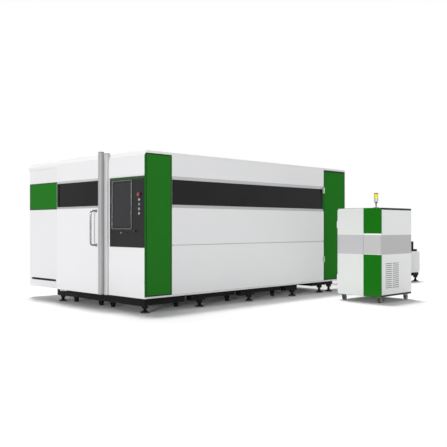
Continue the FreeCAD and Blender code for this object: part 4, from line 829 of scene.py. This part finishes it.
def beacon_lens():
    """Ribbed lens shells of the beacon, the two rings of its body and three foot screws."""
    low, high = local("beacon_lights")
    middle, base = (low[:2] + high[:2]) / 2, low[2]
    yellow = turned(ribbed(0.5, 64.5, 8, [(30, 64.5)]), (*middle, base), steps=40)
    piece("beacon_yellow_shell", [yellow], "lens_yellow", "machine")
    dome = [(31.5, 78), (27, 82.5), (18, 85), (0, 85.6)]
    red = turned(ribbed(66, 72, 1, dome), (*middle, base), steps=40)
    piece("beacon_red_shell", [red], "lens_amber", "machine")

    ring = [(32.9, 0), (34.2, 1), (34.2, 5), (32.9, 6)]
    screw = [(4, 0), (4, 1.5), (2.5, 3), (0, 3.4)]
    screws, circle, first_turn = 3, 33, 0.4
    low, high = local("beacon_mast")
    fittings = [turned(ring, (*middle, high[2] - drop)) for drop in (8, 40)]
    for angle in np.arange(screws) * 2 * math.pi / screws + first_turn:
        x, y = middle + (circle * math.cos(angle), circle * math.sin(angle))
        fittings.append(turned(screw, (x, y, low[2] + 12)))
    piece("beacon_rings", fittings, "lamp_body", "machine")


def cutting_nozzle():
    """Copper nozzle of the cutting head, its knurled focus ring, whose radius steps by
    0.7 mm from tooth to tooth, and a plain ring above and below that."""
    low, high = local("cutting_head")
    x, y, z = low[0] + 35, (low[1] + high[1]) / 2, low[2]
    nozzle = turned([(2, -1), (6.2, 0), (9, 10), (15.5, 30), (15.5, 36), (12, 36)], (x, y, z))
    piece("cutting_nozzle", [nozzle], "copper", "head")
    teeth = np.arange(96)
    radius = 36.2 + 0.7 * (teeth % 2)
    angle = teeth * 2 * np.pi / len(teeth)
    rows = [np.stack([x + scale * radius * np.cos(angle), y + scale * radius * np.sin(angle),
                      np.full(len(teeth), z + rise)], 1)
            for scale, rise in ((0.93, 150), (1, 152), (1, 178), (0.93, 180))]
    rings = [grid(at(np.stack(rows)), wrap_columns=True)]
    plain = np.array([(34.9, 0), (36.4, 1), (36.4, 7), (34.9, 8)])
    rings += [turned(plain + (0, rise), (x, y, z)) for rise in (96, 214)]
    piece("focus_rings", rings, "cap_dark", "head")


def rack_teeth():
    """Racks beside the rails: a row of sloped teeth, worked as one zigzag line of heights
    carried across the rack."""
    pitch, tooth_rise, sunk, inset, width = 10, 5.0, 1.0, 65, 24
    low, high = local("x_rails")
    count = int((high[0] - low[0] - 2 * pitch) / pitch)
    x = low[0] + pitch + np.arange(count)[:, None] * pitch + np.array([0, 2, 5, 7])
    z = np.broadcast_to(high[2] + np.array([0.0, tooth_rise, tooth_rise, 0.0]), x.shape)
    x, z = x.ravel(), z.ravel()
    under = np.full(len(x), high[2] - sunk)
    surfaces = []
    for start in (low[1] + inset, high[1] - inset - width):
        end = start + width
        rows = [np.stack([x, np.full(len(x), y), height], 1)
                for y, height in ((start, under), (start, z), (end, z), (end, under))]
        surfaces.append(grid(at(np.stack(rows)), wrap_rows=True))
    piece("rack_teeth", surfaces, "ground_steel", "machine", 20)


def post_caps():
    """Rounded caps on the two posts: rounded squares with a rounded top edge."""
    for name, body in (("fixed_post", "machine"), ("door_post", "end_door")):
        low, high = local(name)
        cap = cushion(low[:2], high[:2], high[2] + 0.2, high[2] - 12, corner=18, edge=8, axis="z")
        piece(name + "_cap", [cap], "cap_grey", body)


def knob_mark():
    """Pale pointer line let into the selector knob's grip."""
    low, high = local("selector_knob")
    y = (low[1] + high[1]) / 2
    mark = cushion((y - 1, high[2] - 13), (y + 1, high[2] - 3), low[0] - 0.4, low[0] + 1,
                   corner=0.8, edge=0.4)
    piece("knob_mark", [mark], "cap_white", "selector_knob")


for build in (screen_line, switch_rings, rubber_seals, edge_shade_and_trims, louvres, slot_fins,
              roof_seal, hinge_knuckles, feet_hardware, handle_collars, caster_wheels,
              beacon_lens, cutting_nozzle, rack_teeth, post_caps, knob_mark):
    build()


# ------------------------------------------------------------------------------ studio
# The floor has one colour for the light that it throws back on the part, and a paler one
# with a faint glow for the camera.
FLOOR_WHITE = srgb(238, 238, 239)
FLOOR_SEEN = srgb(250, 250, 250)
FLOOR_GLOW = 0.035
FLOOR_REACH = 90
AMBIENT = 0.22
# Name, way that the light travels, strength on a sheet that faces it, spread in degrees.
LAMPS = (
    ("overhead", (-0.12, -0.22, -1.0), 0.59, 9),
    ("overhead_wide", (-0.22, -0.42, -1.0), 0.17, 24),
    ("end_light", (0.87, 0.45, -0.13), 0.54, 9),
    ("side_light", (0.22, 0.95, -0.06), 0.11, 50),
    ("rear_fill", (-0.6, -0.75, -0.2), 0.10, 60),
)


def sun(name, toward, strength, spread):
    """Distant lamp whose light travels along toward; strength is that on a facing sheet."""
    lamp = bpy.data.lights.new(name, "SUN")
    lamp.energy, lamp.angle = strength * math.pi, math.radians(spread)
    item = bpy.data.objects.new(name, lamp)
    item.rotation_mode = "QUATERNION"
    item.rotation_quaternion = Vector(toward).to_track_quat("-Z", "Y")
    bpy.context.scene.collection.objects.link(item)


def studio_floor():
    """Flat square of one face that keeps the soft shadow of the part."""
    reach = FLOOR_REACH
    mesh = bpy.data.meshes.new("studio_floor")
    corners = [(-reach, -reach, 0), (reach, -reach, 0), (reach, reach, 0), (-reach, reach, 0)]
    mesh.from_pydata(corners, [], [(0, 1, 2, 3)])
    floor = bpy.data.objects.new("studio_floor", mesh)
    bpy.context.scene.collection.objects.link(floor)
    material, tree, shader = new_material("studio_floor")
    seen = add(tree, "LightPath").outputs["Is Camera Ray"]
    fill(tree, shader, {"Base Color": blend(tree, seen, FLOOR_WHITE, FLOOR_SEEN),
                        "Roughness": 0.9, "Specular IOR Level": 0.0,
                        "Emission Color": FLOOR_WHITE,
                        "Emission Strength": maths(tree, "MULTIPLY", seen, FLOOR_GLOW)})
    mesh.materials.append(material)


def studio_world():
    """Even surroundings: white where they are seen, mirrored or seen through, and the weaker
    ambient light everywhere else."""
    world = bpy.data.worlds.new("studio_light")
    bpy.context.scene.world = world
    world.use_nodes = True
    tree = world.node_tree
    path = add(tree, "LightPath").outputs
    seen = maths(tree, "ADD", path["Is Camera Ray"], path["Is Glossy Ray"])
    seen = maths(tree, "ADD", seen, path["Is Transmission Ray"], clamp=True)
    strength = maths(tree, "ADD", maths(tree, "MULTIPLY", seen, 1.0 - AMBIENT), AMBIENT)
    fill(tree, tree.nodes["Background"], {"Color": (1, 1, 1, 1), "Strength": strength})


CAMERA_PLACE = (-9.2005, -7.803, 1.177)
CAMERA_TURN = 45.088
CAMERA_SENSOR, CAMERA_LENS, CAMERA_SHIFT = 36.0, 53.64, 0.0058


def camera():
    """Level camera at eye height, turned 45 degrees, as fitted to the photograph."""
    data = bpy.data.cameras.new("photo_camera")
    data.sensor_width, data.lens, data.shift_y = CAMERA_SENSOR, CAMERA_LENS, CAMERA_SHIFT
    item = bpy.data.objects.new("photo_camera", data)
    item.location = CAMERA_PLACE
    item.rotation_euler = (math.pi / 2, 0, math.radians(CAMERA_TURN - 90))
    bpy.context.scene.collection.objects.link(item)
    bpy.context.scene.camera = item


studio_floor()
studio_world()
for lamp in LAMPS:
    sun(*lamp)
camera()
bpy.context.scene.view_settings.view_transform = "Standard"
